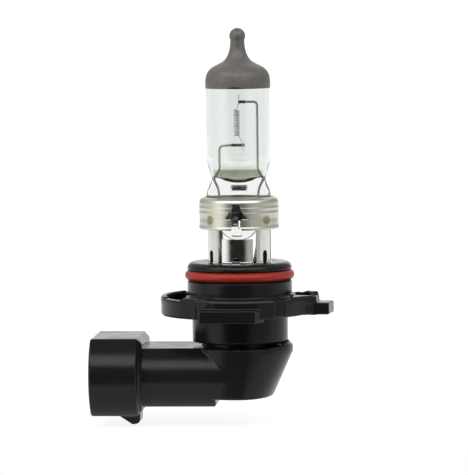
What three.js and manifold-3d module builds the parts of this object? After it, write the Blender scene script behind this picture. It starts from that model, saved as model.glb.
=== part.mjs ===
// A right-angle halogen headlight bulb with two terminals and a 22 mm bayonet cap.
// Millimetres, +Z up. The bulb's axis is Z, and the flange's top face, which seats in the lamp, is z = 0.
// The connector points along -X, and the lug with the index tab lies towards +X.
import * as THREE from "three";
import { mergeVertices } from "three/addons/utils/BufferGeometryUtils.js";
import Module from "manifold-3d";

// Driving dimensions.
const GLASS_RADIUS = 6.5;
const GLASS_WALL = 1.05;
const TIP_Z = 54.6; // the top of the exhaust nub
const COATING_EDGE_Z = 42.5; // the opaque cap covers the glass above this
const COATING_THICKNESS = 0.1;
const COIL_X = -0.3; // the coil hangs a little off the axis
const COIL_BOTTOM_Z = 32.7;
const COIL_LENGTH = 5.4;
const COIL_RADIUS = 0.62;
const COIL_WIRE = 0.24;
const COIL_TURNS = 11;
const SUPPORT_X = 3.9; // each support wire stands this far from the axis
const SUPPORT_WIRE = 0.4;
const LEAD_WIRE = 0.7;
const WING_BOTTOM_Z = 14.3; // the pinch is full width down to here, and a narrow stem below
const PINCH_BOTTOM_Z = 11.7;
const RING_RADIUS = 8.05;
const RING_BOTTOM_Z = 14.0;
const RING_TOP_Z = 20.4;
const LEG_RADIUS = 6.5;
const SHEET = 0.35; // thickness of the steel pressings
const BARREL_RADIUS = 10.65; // the spigot that enters the lamp's 22 mm hole
const BARREL_TOP_Z = 7.2;
const COLLAR_TOP_Z = 7.4;
const PASSAGE_RADIUS = 3.9; // the hole down the barrel, for the lead wires
const SEAL_Z = 4.5;
const SEAL_SECTION = 1.0; // radius of the ring seal's cord
const SEAL_RADIUS = 10.15;
const FLANGE_THICKNESS = 3.4;
const LUG_RADIUS = 16.1;
const PAD_HEIGHT = 0.7;
const RIM_HEIGHT = 0.45;
const BACK_RIM_HEIGHT = 1.0;
const TAB_REACH = 18.75;
const NECK_RADIUS = 9.75; // the barrel below the flange
const ELBOW_TOP_Z = -9.9;
const ELBOW_BOTTOM_Z = -20.2;
const ELBOW_RADIUS = 10.75;
const WELL_RADIUS = 7.0;
const ARM_BOTTOM_Z = -21.8;
const SHROUD_END_X = -30;
const SHROUD_REAR_X = -20.2;
const SHROUD_TOP_Z = -7.85;
const SHROUD_BOTTOM_Z = -23.6;
const BLADE_Y = 3.3; // each blade stands this far from the middle
const BLADE_Z = -15.7;
const BLADE_WIDTH = 2.8;
const BLADE_THICKNESS = 0.8;
const CLEARANCE = 0.06; // between pieces that touch on the real bulb

const wasm = await Module();
wasm.setup();

// ---- making and cutting shapes ----

const degrees = THREE.MathUtils.degToRad;

// A closed geometry as a solid that can be cut and joined.
function solid(geometry) {
  const bare = geometry.index ? geometry.toNonIndexed() : geometry.clone();
  bare.deleteAttribute("normal");
  bare.deleteAttribute("uv");
  const merged = mergeVertices(bare, 1e-4);
  return new wasm.Manifold(
    new wasm.Mesh({
      numProp: 3,
      vertProperties: merged.attributes.position.array,
      triVerts: new Uint32Array(merged.index.array),
    }),
  );
}

function geometryOf(shape) {
  const { vertProperties, triVerts } = shape.getMesh();
  const geometry = new THREE.BufferGeometry();
  geometry.setAttribute("position", new THREE.BufferAttribute(vertProperties, 3));
  geometry.setIndex(new THREE.BufferAttribute(triVerts, 1));
  return geometry.toNonIndexed();
}

const join = (first, ...rest) => rest.reduce((all, geometry) => all.add(solid(geometry)), solid(first));

const cut = (body, tools) => geometryOf(tools.reduce((left, tool) => left.subtract(solid(tool)), body));

const flatPoints = (pairs) => pairs.map(([x, y]) => new THREE.Vector2(x, y));

// A body of revolution about Z. The outline is [radius, z] points or a THREE.Path, and closes on itself.
function revolve(outline, segments = 48) {
  const points = outline.getPoints ? outline.getPoints(3) : flatPoints(outline);
  if (!points[0].equals(points.at(-1))) points.push(points[0].clone());
  if (THREE.ShapeUtils.isClockWise(points)) points.reverse();
  return new THREE.LatheGeometry(points, segments).rotateX(Math.PI / 2);
}

// A plan shape in XY, raised from z = bottom to z = top.
function raise(shape, bottom, top, curveSegments = 8) {
  const settings = { depth: top - bottom, bevelEnabled: false, curveSegments };
  return new THREE.ExtrudeGeometry(shape, settings).translate(0, 0, bottom);
}

// A shape drawn in XZ, made thick along Y from y = front to y = back.
function thicken(shape, front, back, curveSegments = 8) {
  return raise(shape, -back, -front, curveSegments).rotateX(Math.PI / 2);
}

// A shape drawn in YZ, run along X from x = start to x = end.
function run(shape, start, end, curveSegments = 8) {
  const turned = new THREE.Matrix4().set(0, 0, 1, 0, 1, 0, 0, 0, 0, 1, 0, 0, 0, 0, 0, 1);
  return raise(shape, start, end, curveSegments).applyMatrix4(turned);
}

const polygon = (pairs) => new THREE.Shape(flatPoints(pairs));

function box(low, high) {
  const [x, y, z] = high.map((value, axis) => value - low[axis]);
  return new THREE.BoxGeometry(x, y, z).translate(low[0] + x / 2, low[1] + y / 2, low[2] + z / 2);
}

function post(x, y, radius, bottom, top, segments = 8) {
  const cylinder = new THREE.CylinderGeometry(radius, radius, top - bottom, segments);
  return cylinder.rotateX(Math.PI / 2).translate(x, y, (bottom + top) / 2);
}

// A part of a ring in plan, between two radii and two angles in degrees.
function sector(inner, outer, from, to) {
  const shape = new THREE.Shape();
  shape.absarc(0, 0, outer, degrees(from), degrees(to), false);
  shape.absarc(0, 0, inner, degrees(to), degrees(from), true);
  shape.closePath();
  return shape;
}

// A skin through level rings from the top down, each [z, half width along X, half depth along Y, squareness].
function loft(rings, segments = 32) {
  const skin = new THREE.CylinderGeometry(1, 1, 1, segments, rings.length - 1).rotateX(Math.PI / 2);
  const place = skin.attributes.position;
  for (let i = 0; i < place.count; i++) {
    const [z, width, depth, squareness] = rings[Math.round((0.5 - place.getZ(i)) * (rings.length - 1))];
    const bulge = (value) => Math.sign(value) * Math.abs(value) ** (2 / squareness);
    const onAxis = Math.hypot(place.getX(i), place.getY(i)) < 0.5;
    const x = onAxis ? 0 : width * bulge(place.getX(i));
    const y = onAxis ? 0 : depth * bulge(place.getY(i));
    place.setXYZ(i, x, y, z);
  }
  return skin;
}

// A round wire with six sides along a curve.
function wire(path, diameter, steps) {
  const section = new THREE.Shape().absarc(0, 0, diameter / 2, 0, 2 * Math.PI);
  const settings = { steps, extrudePath: path, bevelEnabled: false, curveSegments: 3 };
  return new THREE.ExtrudeGeometry(section, settings);
}

const smoothPath = (points) => new THREE.CatmullRomCurve3(points, false, "centripetal");

// Straight runs between the points, with each corner rounded off.
function bentPath(points, bend) {
  const path = new THREE.CurvePath();
  let start = points[0];
  for (let i = 1; i < points.length - 1; i++) {
    const corner = points[i];
    const before = corner.clone().add(points[i - 1].clone().sub(corner).setLength(bend));
    const after = corner.clone().add(points[i + 1].clone().sub(corner).setLength(bend));
    path.add(new THREE.LineCurve3(start, before));
    path.add(new THREE.QuadraticBezierCurve3(before, corner, after));
    start = after;
  }
  path.add(new THREE.LineCurve3(start, points.at(-1)));
  return path;
}

const point = (x, y, z) => new THREE.Vector3(x, y, z);

// ---- materials ----

const material = (color, roughness, metalness, opacity = 1) =>
  new THREE.MeshStandardMaterial({ color, roughness, metalness, opacity, transparent: opacity < 1 });

const quartz = material(0xe6ece8, 0.03, 0, 0.35);
const coatingPaint = material(0x605c58, 0.6, 0.1);
const tungsten = material(0x8a8c8c, 0.5, 1);
const molybdenum = material(0x7d8380, 0.35, 1);
const nickelSteel = material(0xb9b8a8, 0.2, 1);
const brass = material(0xc9b26a, 0.35, 1);
const housingPlastic = material(0x232524, 0.4, 0);
const sealRubber = material(0xb23a24, 0.5, 0);
const pottingResin = material(0x2e2a24, 0.6, 0);

const bulb = new THREE.Group();

function add(name, geometry, finish) {
  const mesh = new THREE.Mesh(geometry, finish);
  mesh.name = name;
  bulb.add(mesh);
}

// ---- the glass envelope: exhaust nub, shoulder, tube and flattened pinch ----

const NUB_RADIUS = 1.5;
const NUB_Z = TIP_Z - NUB_RADIUS;
const NECK_HALF_WIDTH = 1.3;
const SHOULDER_Z = 43.6;
const TUBE_BOTTOM_Z = 28.2;

// The outside of the tip, from its top on the axis down to the tube.
function tipOutline() {
  const neckAngle = Math.acos(NECK_HALF_WIDTH / NUB_RADIUS);
  const path = new THREE.Path();
  path.absarc(0, NUB_Z, NUB_RADIUS, Math.PI / 2, -neckAngle, true);
  path.bezierCurveTo(NECK_HALF_WIDTH, 51.0, 1.55, 48.9, 2.85, 47.9);
  path.bezierCurveTo(4.3, 46.8, GLASS_RADIUS, 46.9, GLASS_RADIUS, SHOULDER_Z);
  return path.getPoints(4);
}

// The way down the pinch for a support wire, its foil and its outer lead.
function pinchPassage(x) {
  const reach = FOIL_WIDTH / 2 + CLEARANCE;
  const depth = FOIL_THICKNESS / 2 + CLEARANCE;
  return [
    wire(smoothPath(bow(x, FOIL_TOP_Z, 26.5)), SUPPORT_WIRE + 4 * CLEARANCE, 16),
    box([x - reach, -depth, FOIL_BOTTOM_Z], [x + reach, depth, FOIL_TOP_Z + CLEARANCE]),
    post(x, 0, LEAD_WIRE / 2 + CLEARANCE, WING_BOTTOM_Z - 1, FOIL_BOTTOM_Z + CLEARANCE),
  ];
}

function glassEnvelope() {
  const tubeEnd = flatPoints([[GLASS_RADIUS, TUBE_BOTTOM_Z], [0, TUBE_BOTTOM_Z]]);
  const tip = new THREE.Path([...tipOutline(), ...tubeEnd]);
  const pinch = loft([
    [TUBE_BOTTOM_Z, GLASS_RADIUS, GLASS_RADIUS, 2],
    [27.2, 6.3, 5.9, 2],
    [26.2, 5.95, 4.5, 2.1],
    [25.2, 5.6, 3.1, 2.3],
    [24.3, 5.5, 2.2, 3],
    [23.0, 5.8, 1.85, 4],
    [21.7, 6.35, 1.85, 5],
    [20.6, 6.5, 1.85, 5],
    [WING_BOTTOM_Z + 0.5, 6.5, 1.85, 5],
    [WING_BOTTOM_Z, 5.9, 1.8, 5],
    [WING_BOTTOM_Z - 0.2, 3.45, 1.8, 5],
    [12.5, 3.3, 1.75, 4],
    [PINCH_BOTTOM_Z, 2.3, 1.3, 3],
  ]);
  const inside = GLASS_RADIUS - GLASS_WALL;
  const cavity = loft([
    [49.4, 0.4, 0.4, 2],
    [48.2, 0.9, 0.9, 2],
    [47.0, 2.4, 2.4, 2],
    [46.2, 4.0, 4.0, 2],
    [45.0, 5.1, 5.1, 2],
    [SHOULDER_Z, inside, inside, 2],
    [TUBE_BOTTOM_Z, inside, inside, 2],
    [26.6, 5.1, 3.9, 2],
    [25.4, 4.7, 2.1, 2.2],
    [24.6, 3.9, 1.1, 2],
    [24.0, 2.9, 0.7, 2],
    [23.5, 1.6, 0.4, 2],
  ]);
  const passages = [-SUPPORT_X, SUPPORT_X].flatMap(pinchPassage);
  return cut(join(revolve(tip, 32), pinch), [cavity, ...passages]);
}

// The opaque paint on the tip: the outline of the glass, moved out a little along its normals.
function antiglareCap() {
  const glass = [...tipOutline(), new THREE.Vector2(GLASS_RADIUS, COATING_EDGE_Z)];
  const skin = (distance) =>
    glass.map((here, i) => {
      const along = (glass[i + 1] ?? here).clone().sub(glass[i - 1] ?? here).normalize();
      const x = i === 0 ? 0 : here.x - along.y * distance;
      return new THREE.Vector2(x, here.y + along.x * distance);
    });
  const inner = skin(CLEARANCE / 2);
  const outer = skin(CLEARANCE / 2 + COATING_THICKNESS);
  return revolve(new THREE.Path([...outer, ...inner.reverse()]), 32);
}

// ---- the filament and what holds it ----

const FOIL_WIDTH = 2.2;
const FOIL_THICKNESS = 0.12;
const FOIL_TOP_Z = 20.0;
const FOIL_BOTTOM_Z = 15.4;
const UPPER_ARM_Z = 39.7;
const LOWER_ARM_Z = 30.9;
const WIRE_BOW = 0.8;
const WIRE_BEND = 0.9;
const STRAIGHT_FROM_Z = 27; // the support wires are straight above this
const CLAMP_RADIUS = 0.31;
const COIL_LEAD_IN = 50 / 360; // the part of a turn that the coil's ends leave out
const TAIL_Y = -(CLAMP_RADIUS + COIL_WIRE / 2 + CLEARANCE / 2); // the tails pass just in front of the clamps

// A support wire bows outwards where the glass narrows. These points run up it, at distance x from the axis.
function bow(x, from, to) {
  const out = Math.sign(x) * WIRE_BOW;
  return [
    point(x, 0, from),
    point(x + out * 0.3, 0, 21.8),
    point(x + out, 0, 24.0),
    point(x + out * 0.2, 0, 25.9),
    point(x, 0, to),
  ];
}

class Helix extends THREE.Curve {
  constructor(startAngle, turns) {
    super();
    this.startAngle = startAngle;
    this.turns = turns;
  }
  getPoint(t, target = new THREE.Vector3()) {
    const angle = this.startAngle + 2 * Math.PI * this.turns * t;
    const z = COIL_BOTTOM_Z + COIL_LENGTH * t;
    return target.set(COIL_X + COIL_RADIUS * Math.cos(angle), COIL_RADIUS * Math.sin(angle), z);
  }
}

function filament() {
  const helix = new Helix(degrees(-40), COIL_TURNS - COIL_LEAD_IN);
  helix.arcLengthDivisions = 400;
  const lowerTail = [
    point(0.95, TAIL_Y, LOWER_ARM_Z - 1.2),
    point(0.85, TAIL_Y, LOWER_ARM_Z + 0.5),
    helix.getPoint(0),
  ];
  const upperTail = [
    helix.getPoint(1),
    point(0.15, TAIL_Y, UPPER_ARM_Z - 0.5),
    point(0.2, TAIL_Y, UPPER_ARM_Z + 1.6),
  ];
  const path = new THREE.CurvePath();
  for (let i = 1; i < lowerTail.length; i++) path.add(new THREE.LineCurve3(lowerTail[i - 1], lowerTail[i]));
  path.add(helix);
  for (let i = 1; i < upperTail.length; i++) path.add(new THREE.LineCurve3(upperTail[i - 1], upperTail[i]));
  return wire(path, COIL_WIRE, 120);
}

// A support wire stands in the pinch at x and bends over towards the axis, as far as reach.
function supportWire(x, armZ, reach) {
  const path = new THREE.CurvePath();
  path.add(smoothPath(bow(x, FOIL_TOP_Z + CLEARANCE, STRAIGHT_FROM_Z)));
  const corners = [point(x, 0, STRAIGHT_FROM_Z), point(x, 0, armZ), point(reach, 0, armZ)];
  bentPath(corners, WIRE_BEND).curves.forEach((curve) => path.add(curve));
  return wire(path, SUPPORT_WIRE, 44);
}

// A crimped tube that clamps a filament tail to a support wire's arm.
function clamp(from, to, z) {
  const bore = SUPPORT_WIRE / 2 + CLEARANCE / 2;
  const tube = new THREE.Shape().absarc(0, z, CLAMP_RADIUS, 0, 2 * Math.PI);
  tube.holes.push(new THREE.Path().absarc(0, z, bore, 0, 2 * Math.PI, true));
  return run(tube, from, to, 5);
}

function foil(x) {
  const low = [x - FOIL_WIDTH / 2, -FOIL_THICKNESS / 2, FOIL_BOTTOM_Z + CLEARANCE];
  return box(low, [x + FOIL_WIDTH / 2, FOIL_THICKNESS / 2, FOIL_TOP_Z]);
}

// An outer lead runs from the foil out of the pinch and down the barrel to the inner side of its terminal.
function leadWire(x, side) {
  const endY = side * (BLADE_Y - (BLADE_THICKNESS + LEAD_WIRE) / 2 - CLEARANCE);
  const route = [
    point(x, 0, FOIL_BOTTOM_Z),
    point(x, 0, 11.6),
    point(x * 0.84, 0, 8),
    point(x * 0.68, 0, 5),
    point(x * 0.5, endY * 0.5, 1),
    point(x * 0.2 - 0.6, endY * 0.95, -2.5),
    point(TERMINAL_POST_X, endY, -5),
    point(TERMINAL_POST_X, endY, -7.5),
  ];
  return wire(smoothPath(route), LEAD_WIRE, 24);
}

// ---- the metal holder: clip on the pinch, focusing ring and cage with legs ----

const PLATE_Z = 19.2; // underside of the clip's top plate
const CLIP_RADIUS = 7.1;
const PINCH_SLOT = { halfWidth: 6.62, halfDepth: 2.0 };
const FINGER_HALF_WIDTH = 0.9;

// A round cap with a slot for the pinch, and two sprung fingers that press on the pinch's flat faces.
function pinchClip() {
  const cap = join(
    revolve([
      [0, PLATE_Z],
      [CLIP_RADIUS - SHEET, PLATE_Z],
      [CLIP_RADIUS - SHEET, 17.7],
      [CLIP_RADIUS, 17.7],
      [CLIP_RADIUS, PLATE_Z + SHEET],
      [0, PLATE_Z + SHEET],
    ]),
  );
  const { halfWidth, halfDepth } = PINCH_SLOT;
  const opening = box([-halfWidth, -halfDepth, PLATE_Z - 1], [halfWidth, halfDepth, PLATE_Z + 1]);
  const relief = box([-1.6, -3.3, PLATE_Z - 1], [1.6, 3.3, PLATE_Z + 1]);
  const fingers = [1, -1].map((side) => {
    const front = [[3.6, PLATE_Z + 0.02], [2.0, 17.0], [2.5, 15.4]];
    const back = [[2.85, 15.4], [2.36, 17.0], [3.95, PLATE_Z + 0.02]];
    const strip = polygon([...front, ...back].map(([y, z]) => [side * y, z]));
    return run(strip, -FINGER_HALF_WIDTH, FINGER_HALF_WIDTH);
  });
  return geometryOf(join(cut(cap, [opening, relief]), ...fingers));
}

const RING_WALL = 0.4;

// The outer ring, whose top edge is rolled in. A window with a slot below it is cut through its front wall.
function focusRing() {
  const roll = 1.0;
  const inner = RING_RADIUS - RING_WALL;
  const outline = new THREE.Path();
  outline.moveTo(inner, RING_BOTTOM_Z).lineTo(RING_RADIUS, RING_BOTTOM_Z);
  outline.absarc(RING_RADIUS - roll, RING_TOP_Z - roll, roll, 0, Math.PI / 2, false);
  outline.lineTo(RING_RADIUS - roll - 0.2, RING_TOP_Z - RING_WALL);
  outline.absarc(RING_RADIUS - roll, RING_TOP_Z - roll, roll - RING_WALL, Math.PI / 2, 0, true);
  outline.lineTo(inner, RING_BOTTOM_Z);
  const rightEdge = [[0.95, RING_BOTTOM_Z - 1], [0.95, 16.4], [2.45, 16.2], [1.3, 18.2], [1.05, 19.2]];
  const leftEdge = rightEdge.map(([x, z]) => [-x, z]).reverse();
  const keyhole = polygon([...rightEdge, ...leftEdge]);
  return cut(solid(revolve(outline, 48)), [thicken(keyhole, -10, -5)]);
}

const FRONT = -90; // degrees from +X
const LEG_SPREAD = 57.5; // each leg stands this far round from the front or the back
const LEG_ANGLES = [FRONT - LEG_SPREAD, FRONT + LEG_SPREAD, -FRONT - LEG_SPREAD, -FRONT + LEG_SPREAD];
const LEG_HALF_ANGLE = 21;
const TONGUE_HALF_ANGLE = 28;
const TONGUE_TOP_Z = 12.1;
const BAND_RADIUS = 7.55;
const BAND_BOTTOM_Z = 17.6;
const BAND_TOP_Z = 19.0;
const PLATE_Z_LOW = BARREL_TOP_Z - 0.4;
const PLATE_Z_HIGH = PLATE_Z_LOW + SHEET;
const PLATE_RADIUS = 6.9;
const SLOT_HALF_WIDTH = 0.5;
const SLOT_TOP_Z = 9.3;
const COLLAR_RADIUS = 5.4; // the barrel's collar stands in the plate's hole

// A pressed steel cage: base plate, four slotted legs, a short tongue at the front, and the band on the legs.
function legCage() {
  const hole = COLLAR_RADIUS + CLEARANCE;
  const wall = revolve([
    [hole, PLATE_Z_LOW],
    [PLATE_RADIUS, PLATE_Z_LOW],
    [PLATE_RADIUS, PLATE_Z_HIGH],
    [LEG_RADIUS, PLATE_Z_HIGH],
    [LEG_RADIUS, 14.2],
    [BAND_RADIUS, 15.8],
    [BAND_RADIUS, BAND_TOP_Z],
    [BAND_RADIUS - SHEET, BAND_TOP_Z],
    [BAND_RADIUS - SHEET, 15.9],
    [LEG_RADIUS - SHEET, 14.4],
    [LEG_RADIUS - SHEET, PLATE_Z_HIGH],
    [hole, PLATE_Z_HIGH],
  ], 72);
  const opening = (from, to, bottom = PLATE_Z_HIGH) => raise(sector(2, 9, from, to), bottom, BAND_BOTTOM_Z);
  const half = LEG_SPREAD - LEG_HALF_ANGLE; // of the openings to the front and back
  const sideHalf = 90 - LEG_SPREAD - LEG_HALF_ANGLE;
  const openings = [
    opening(-sideHalf, sideHalf),
    opening(180 - sideHalf, 180 + sideHalf),
    opening(-FRONT - half, -FRONT + half),
    opening(FRONT - half, FRONT + half, TONGUE_TOP_Z),
    opening(FRONT - half, FRONT - TONGUE_HALF_ANGLE),
    opening(FRONT + TONGUE_HALF_ANGLE, FRONT + half),
  ];
  const slots = LEG_ANGLES.map((angle) => {
    const slot = new THREE.Shape().moveTo(-SLOT_HALF_WIDTH, PLATE_Z_HIGH);
    slot.lineTo(SLOT_HALF_WIDTH, PLATE_Z_HIGH).lineTo(SLOT_HALF_WIDTH, SLOT_TOP_Z);
    slot.absarc(0, SLOT_TOP_Z, SLOT_HALF_WIDTH, 0, Math.PI, false);
    return thicken(slot, -9, -4, 6).rotateZ(degrees(angle - FRONT));
  });
  return cut(solid(wall), [...openings, ...slots]);
}

// ---- the barrel with its flange, and the ring seal ----

const SPIGOT_RADIUS = 8.4; // the barrel's lower end, inside the elbow
const SPIGOT_END_Z = -11.6;
const LIP_Z = ELBOW_TOP_Z + 0.7;
const LIP_CHAMFER = 0.35;
const GROOVE = { radius: 9.08, bottom: 3.4, top: 5.6 };
const FLANGE_RADIUS = 13.8;
const TAB_TURN = -7; // degrees

// The outside, the lead passage and the seat for the cage's plate, as one turned wall.
function barrelWall() {
  const seat = { radius: PLATE_RADIUS + CLEARANCE, z: PLATE_Z_LOW - CLEARANCE };
  const wall = new THREE.Path();
  wall.moveTo(PASSAGE_RADIUS, SPIGOT_END_Z).lineTo(SPIGOT_RADIUS, SPIGOT_END_Z).lineTo(SPIGOT_RADIUS, LIP_Z);
  wall.lineTo(NECK_RADIUS - LIP_CHAMFER, LIP_Z).lineTo(NECK_RADIUS, LIP_Z + LIP_CHAMFER);
  wall.lineTo(NECK_RADIUS, -FLANGE_THICKNESS).lineTo(BARREL_RADIUS, -FLANGE_THICKNESS);
  wall.lineTo(BARREL_RADIUS, GROOVE.bottom).lineTo(GROOVE.radius, GROOVE.bottom);
  wall.lineTo(GROOVE.radius, GROOVE.top).lineTo(BARREL_RADIUS, GROOVE.top);
  wall.lineTo(BARREL_RADIUS, 6.0).quadraticCurveTo(BARREL_RADIUS - 0.1, 6.7, 9.6, BARREL_TOP_Z);
  wall.lineTo(seat.radius, BARREL_TOP_Z).lineTo(seat.radius, seat.z);
  wall.lineTo(COLLAR_RADIUS, seat.z).lineTo(COLLAR_RADIUS, COLLAR_TOP_Z);
  wall.lineTo(PASSAGE_RADIUS, COLLAR_TOP_Z).lineTo(PASSAGE_RADIUS, SPIGOT_END_Z);
  return revolve(wall, 48);
}

function mountingBarrel() {
  const lugNose = [[9.8, -9.7], [13.6, -5.2], [15.64, -3.6], [8, 6], [8, -6]];
  const noseRim = [[11, -8], [13.6, -5.2], [15.5, -3.6], [11, 2]];
  const rimRadius = LUG_RADIUS - 0.1;
  const flange = [
    raise(sector(9, FLANGE_RADIUS, 0, 359.99), -FLANGE_THICKNESS, 0, 24),
    raise(sector(9, LUG_RADIUS, 140, 300), -FLANGE_THICKNESS, 0, 16),
    raise(sector(9, LUG_RADIUS, 72, 112), -FLANGE_THICKNESS, 0),
    raise(sector(9, LUG_RADIUS, -13, 45), -FLANGE_THICKNESS, 0),
    raise(polygon(lugNose), -FLANGE_THICKNESS, 0),
  ];
  const pads = [
    raise(sector(12.5, rimRadius, 226, 250), -1, PAD_HEIGHT),
    raise(sector(14.4, rimRadius, 240, 300), -1, RIM_HEIGHT),
    raise(sector(14.5, rimRadius, 98, 112), -1, RIM_HEIGHT),
    raise(sector(14.9, rimRadius, 141, 200), -1, RIM_HEIGHT),
    raise(sector(10.8, rimRadius, -13, 30), -1, RIM_HEIGHT),
    raise(sector(14.9, rimRadius, -3, 16), -1, BACK_RIM_HEIGHT),
    raise(polygon(noseRim), -1, RIM_HEIGHT),
  ];
  const tab = box([12, -2.0, -3.45], [TAB_REACH, 4.0, -1.0]).rotateZ(degrees(TAB_TURN));
  const bossPlan = [[-7.2, -12], [-7.0, -16.8], [4.2, -16.8], [5.8, -14.4], [5.8, -12]];
  const boss = raise(polygon(bossPlan), -4.1, -1.5);
  const pockets = [
    raise(sector(11.0, LUG_RADIUS - 1.1, 144, 224), -2.9, BACK_RIM_HEIGHT),
    raise(sector(11.4, LUG_RADIUS - 1.1, -14, 41), -2.4, BACK_RIM_HEIGHT),
  ];
  const whole = join(barrelWall(), ...flange, ...pads, tab, boss);
  return cut(whole, [...pockets, terminal(1, 0.1), terminal(-1, 0.1)]);
}

const ringSeal = () => new THREE.TorusGeometry(SEAL_RADIUS, SEAL_SECTION, 10, 40).translate(0, 0, SEAL_Z);

// ---- the elbow housing with its connector shroud ----

// A section in YZ with a flat top and bottom and bulging sides.
function barrelSection(halfFlat, bulge, bottom, top) {
  const half = (top - bottom) / 2;
  const radius = (half * half + bulge * bulge) / (2 * bulge);
  const centre = halfFlat + bulge - radius;
  const spread = Math.asin(half / radius);
  const shape = new THREE.Shape();
  shape.absarc(centre, (top + bottom) / 2, radius, -spread, spread, false);
  shape.absarc(-centre, (top + bottom) / 2, radius, Math.PI - spread, Math.PI + spread, false);
  shape.closePath();
  return shape;
}

// Narrows one end of a body that runs along X, about the height z.
function taper(geometry, endX, scaleY, scaleZ, z) {
  const place = geometry.attributes.position;
  for (let i = 0; i < place.count; i++) {
    if (Math.abs(place.getX(i) - endX) > 1e-3) continue;
    place.setY(i, place.getY(i) * scaleY);
    place.setZ(i, z + (place.getZ(i) - z) * scaleZ);
  }
  return geometry;
}

const HEEL_TOP_Z = -11.1; // below this the elbow's right-hand side leans in
const HEEL_FOOT_X = 6.65;
const SHROUD_NECK_X = -18.8;
const SHROUD_WALL = 1.3;
const TERMINAL_POST_X = -0.8;
const CAVITY_END_X = -21.6;
const WELL_FLOOR_Z = -18.4;

// An L-shaped terminal: a flat blade along the arm, and a post up to its lead. grow widens it all round.
function terminal(side, grow = 0) {
  const half = BLADE_WIDTH / 2 + grow;
  const tip = -28.2 - grow;
  const right = TERMINAL_POST_X + half;
  const profile = polygon([
    [tip, BLADE_Z - half + 0.8],
    [tip + 1.2, BLADE_Z - half],
    [right, BLADE_Z - half],
    [right, -4 + grow],
    [right - 2 * half, -4 + grow],
    [right - 2 * half, BLADE_Z + half],
    [tip + 1.2, BLADE_Z + half],
    [tip, BLADE_Z + half - 0.8],
  ]);
  const thickness = BLADE_THICKNESS / 2 + grow;
  return thicken(profile, side * BLADE_Y - thickness, side * BLADE_Y + thickness);
}

function elbowHousing() {
  const middle = (SHROUD_TOP_Z + SHROUD_BOTTOM_Z) / 2;
  const shroud = barrelSection(8.5, 4.2, SHROUD_BOTTOM_Z, SHROUD_TOP_Z);
  const heel = loft([
    [ELBOW_TOP_Z, ELBOW_RADIUS, ELBOW_RADIUS, 2],
    [HEEL_TOP_Z, ELBOW_RADIUS, ELBOW_RADIUS, 2],
    [ELBOW_BOTTOM_Z, HEEL_FOOT_X, ELBOW_RADIUS, 2],
  ], 64);
  const body = join(
    raise(sector(0.01, ELBOW_RADIUS, 90, 270), ELBOW_BOTTOM_Z, ELBOW_TOP_Z, 32),
    heel,
    run(barrelSection(8.8, 1.8, ELBOW_BOTTOM_Z, ELBOW_TOP_Z), SHROUD_REAR_X, 0, 12),
    run(barrelSection(8.0, 2.2, ARM_BOTTOM_Z, ELBOW_BOTTOM_Z + 8), SHROUD_REAR_X, -4.5, 12),
    run(shroud, SHROUD_END_X, SHROUD_REAR_X, 16),
    taper(run(shroud, SHROUD_REAR_X - 0.1, SHROUD_NECK_X, 16), SHROUD_NECK_X, 0.8, 0.74, middle),
    thicken(polygon([[-26.2, -23.4], [-21.6, -26.0], [-20.2, -25.3], [-20.2, -23.4]]), -3, 3),
  );
  const socket = barrelSection(7.9, 3.5, SHROUD_BOTTOM_Z + SHROUD_WALL, SHROUD_TOP_Z - SHROUD_WALL);
  const hollows = [
    run(socket, SHROUD_END_X - 1, CAVITY_END_X, 16),
    post(0, 0, ELBOW_RADIUS - 2.25, ELBOW_TOP_Z - 1.9, -9, 64),
    post(0, 0, WELL_RADIUS, WELL_FLOOR_Z, -9, 48),
    terminal(1, 0.1),
    terminal(-1, 0.1),
  ];
  const keys = [
    box([-29, -1, -10.3], [CAVITY_END_X + 0.1, 1, -9]),
    box([-29, 2.6, -22.4], [CAVITY_END_X + 0.1, 3.6, -21.4]),
  ];
  return geometryOf(join(cut(body, hollows), ...keys));
}

// A disc in the well, slotted for the terminals.
function wellDisc(radius, bottom, top) {
  return cut(solid(post(0, 0, radius, bottom, top, 40)), [terminal(1, 0.08), terminal(-1, 0.08)]);
}

// ---- the assembly ----

add("glass_envelope", glassEnvelope(), quartz);
add("antiglare_cap", antiglareCap(), coatingPaint);
add("filament", filament(), tungsten);
add("upper_filament_clamp", clamp(0.02, 1.6, UPPER_ARM_Z), molybdenum);
add("lower_filament_clamp", clamp(-1.6, 1.3, LOWER_ARM_Z), molybdenum);
add("long_support_wire", supportWire(SUPPORT_X, UPPER_ARM_Z, 0.05), molybdenum);
add("short_support_wire", supportWire(-SUPPORT_X, LOWER_ARM_Z, 1.27), molybdenum);
add("long_seal_foil", foil(SUPPORT_X), molybdenum);
add("short_seal_foil", foil(-SUPPORT_X), molybdenum);
add("long_lead_wire", leadWire(SUPPORT_X, 1), molybdenum);
add("short_lead_wire", leadWire(-SUPPORT_X, -1), molybdenum);
add("pinch_clip", pinchClip(), nickelSteel);
add("focus_ring", focusRing(), nickelSteel);
add("leg_cage", legCage(), nickelSteel);
add("mounting_barrel", mountingBarrel(), housingPlastic);
add("ring_seal", ringSeal(), sealRubber);
add("elbow_housing", elbowHousing(), housingPlastic);
add("long_lead_terminal", terminal(1), brass);
add("short_lead_terminal", terminal(-1), brass);
add("terminal_spacer", wellDisc(6.8, -13.4, -12.1), housingPlastic);
add("potting_seal", wellDisc(6.9, -18.3, -13.5), pottingResin);

export default bulb;
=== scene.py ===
"""The looks of a right-angle halogen headlight bulb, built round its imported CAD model.

Lengths are in millimetres until a mesh is made, and Z is up. The bulb's axis is Z, z = 0 is the flange's
top face, and the connector points along -X. Moulded and pressed pieces are described as signed distances
and meshed on a grid.
"""

import math

import bpy
import numpy as np
import openvdb
from mathutils import Matrix, Vector


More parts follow.
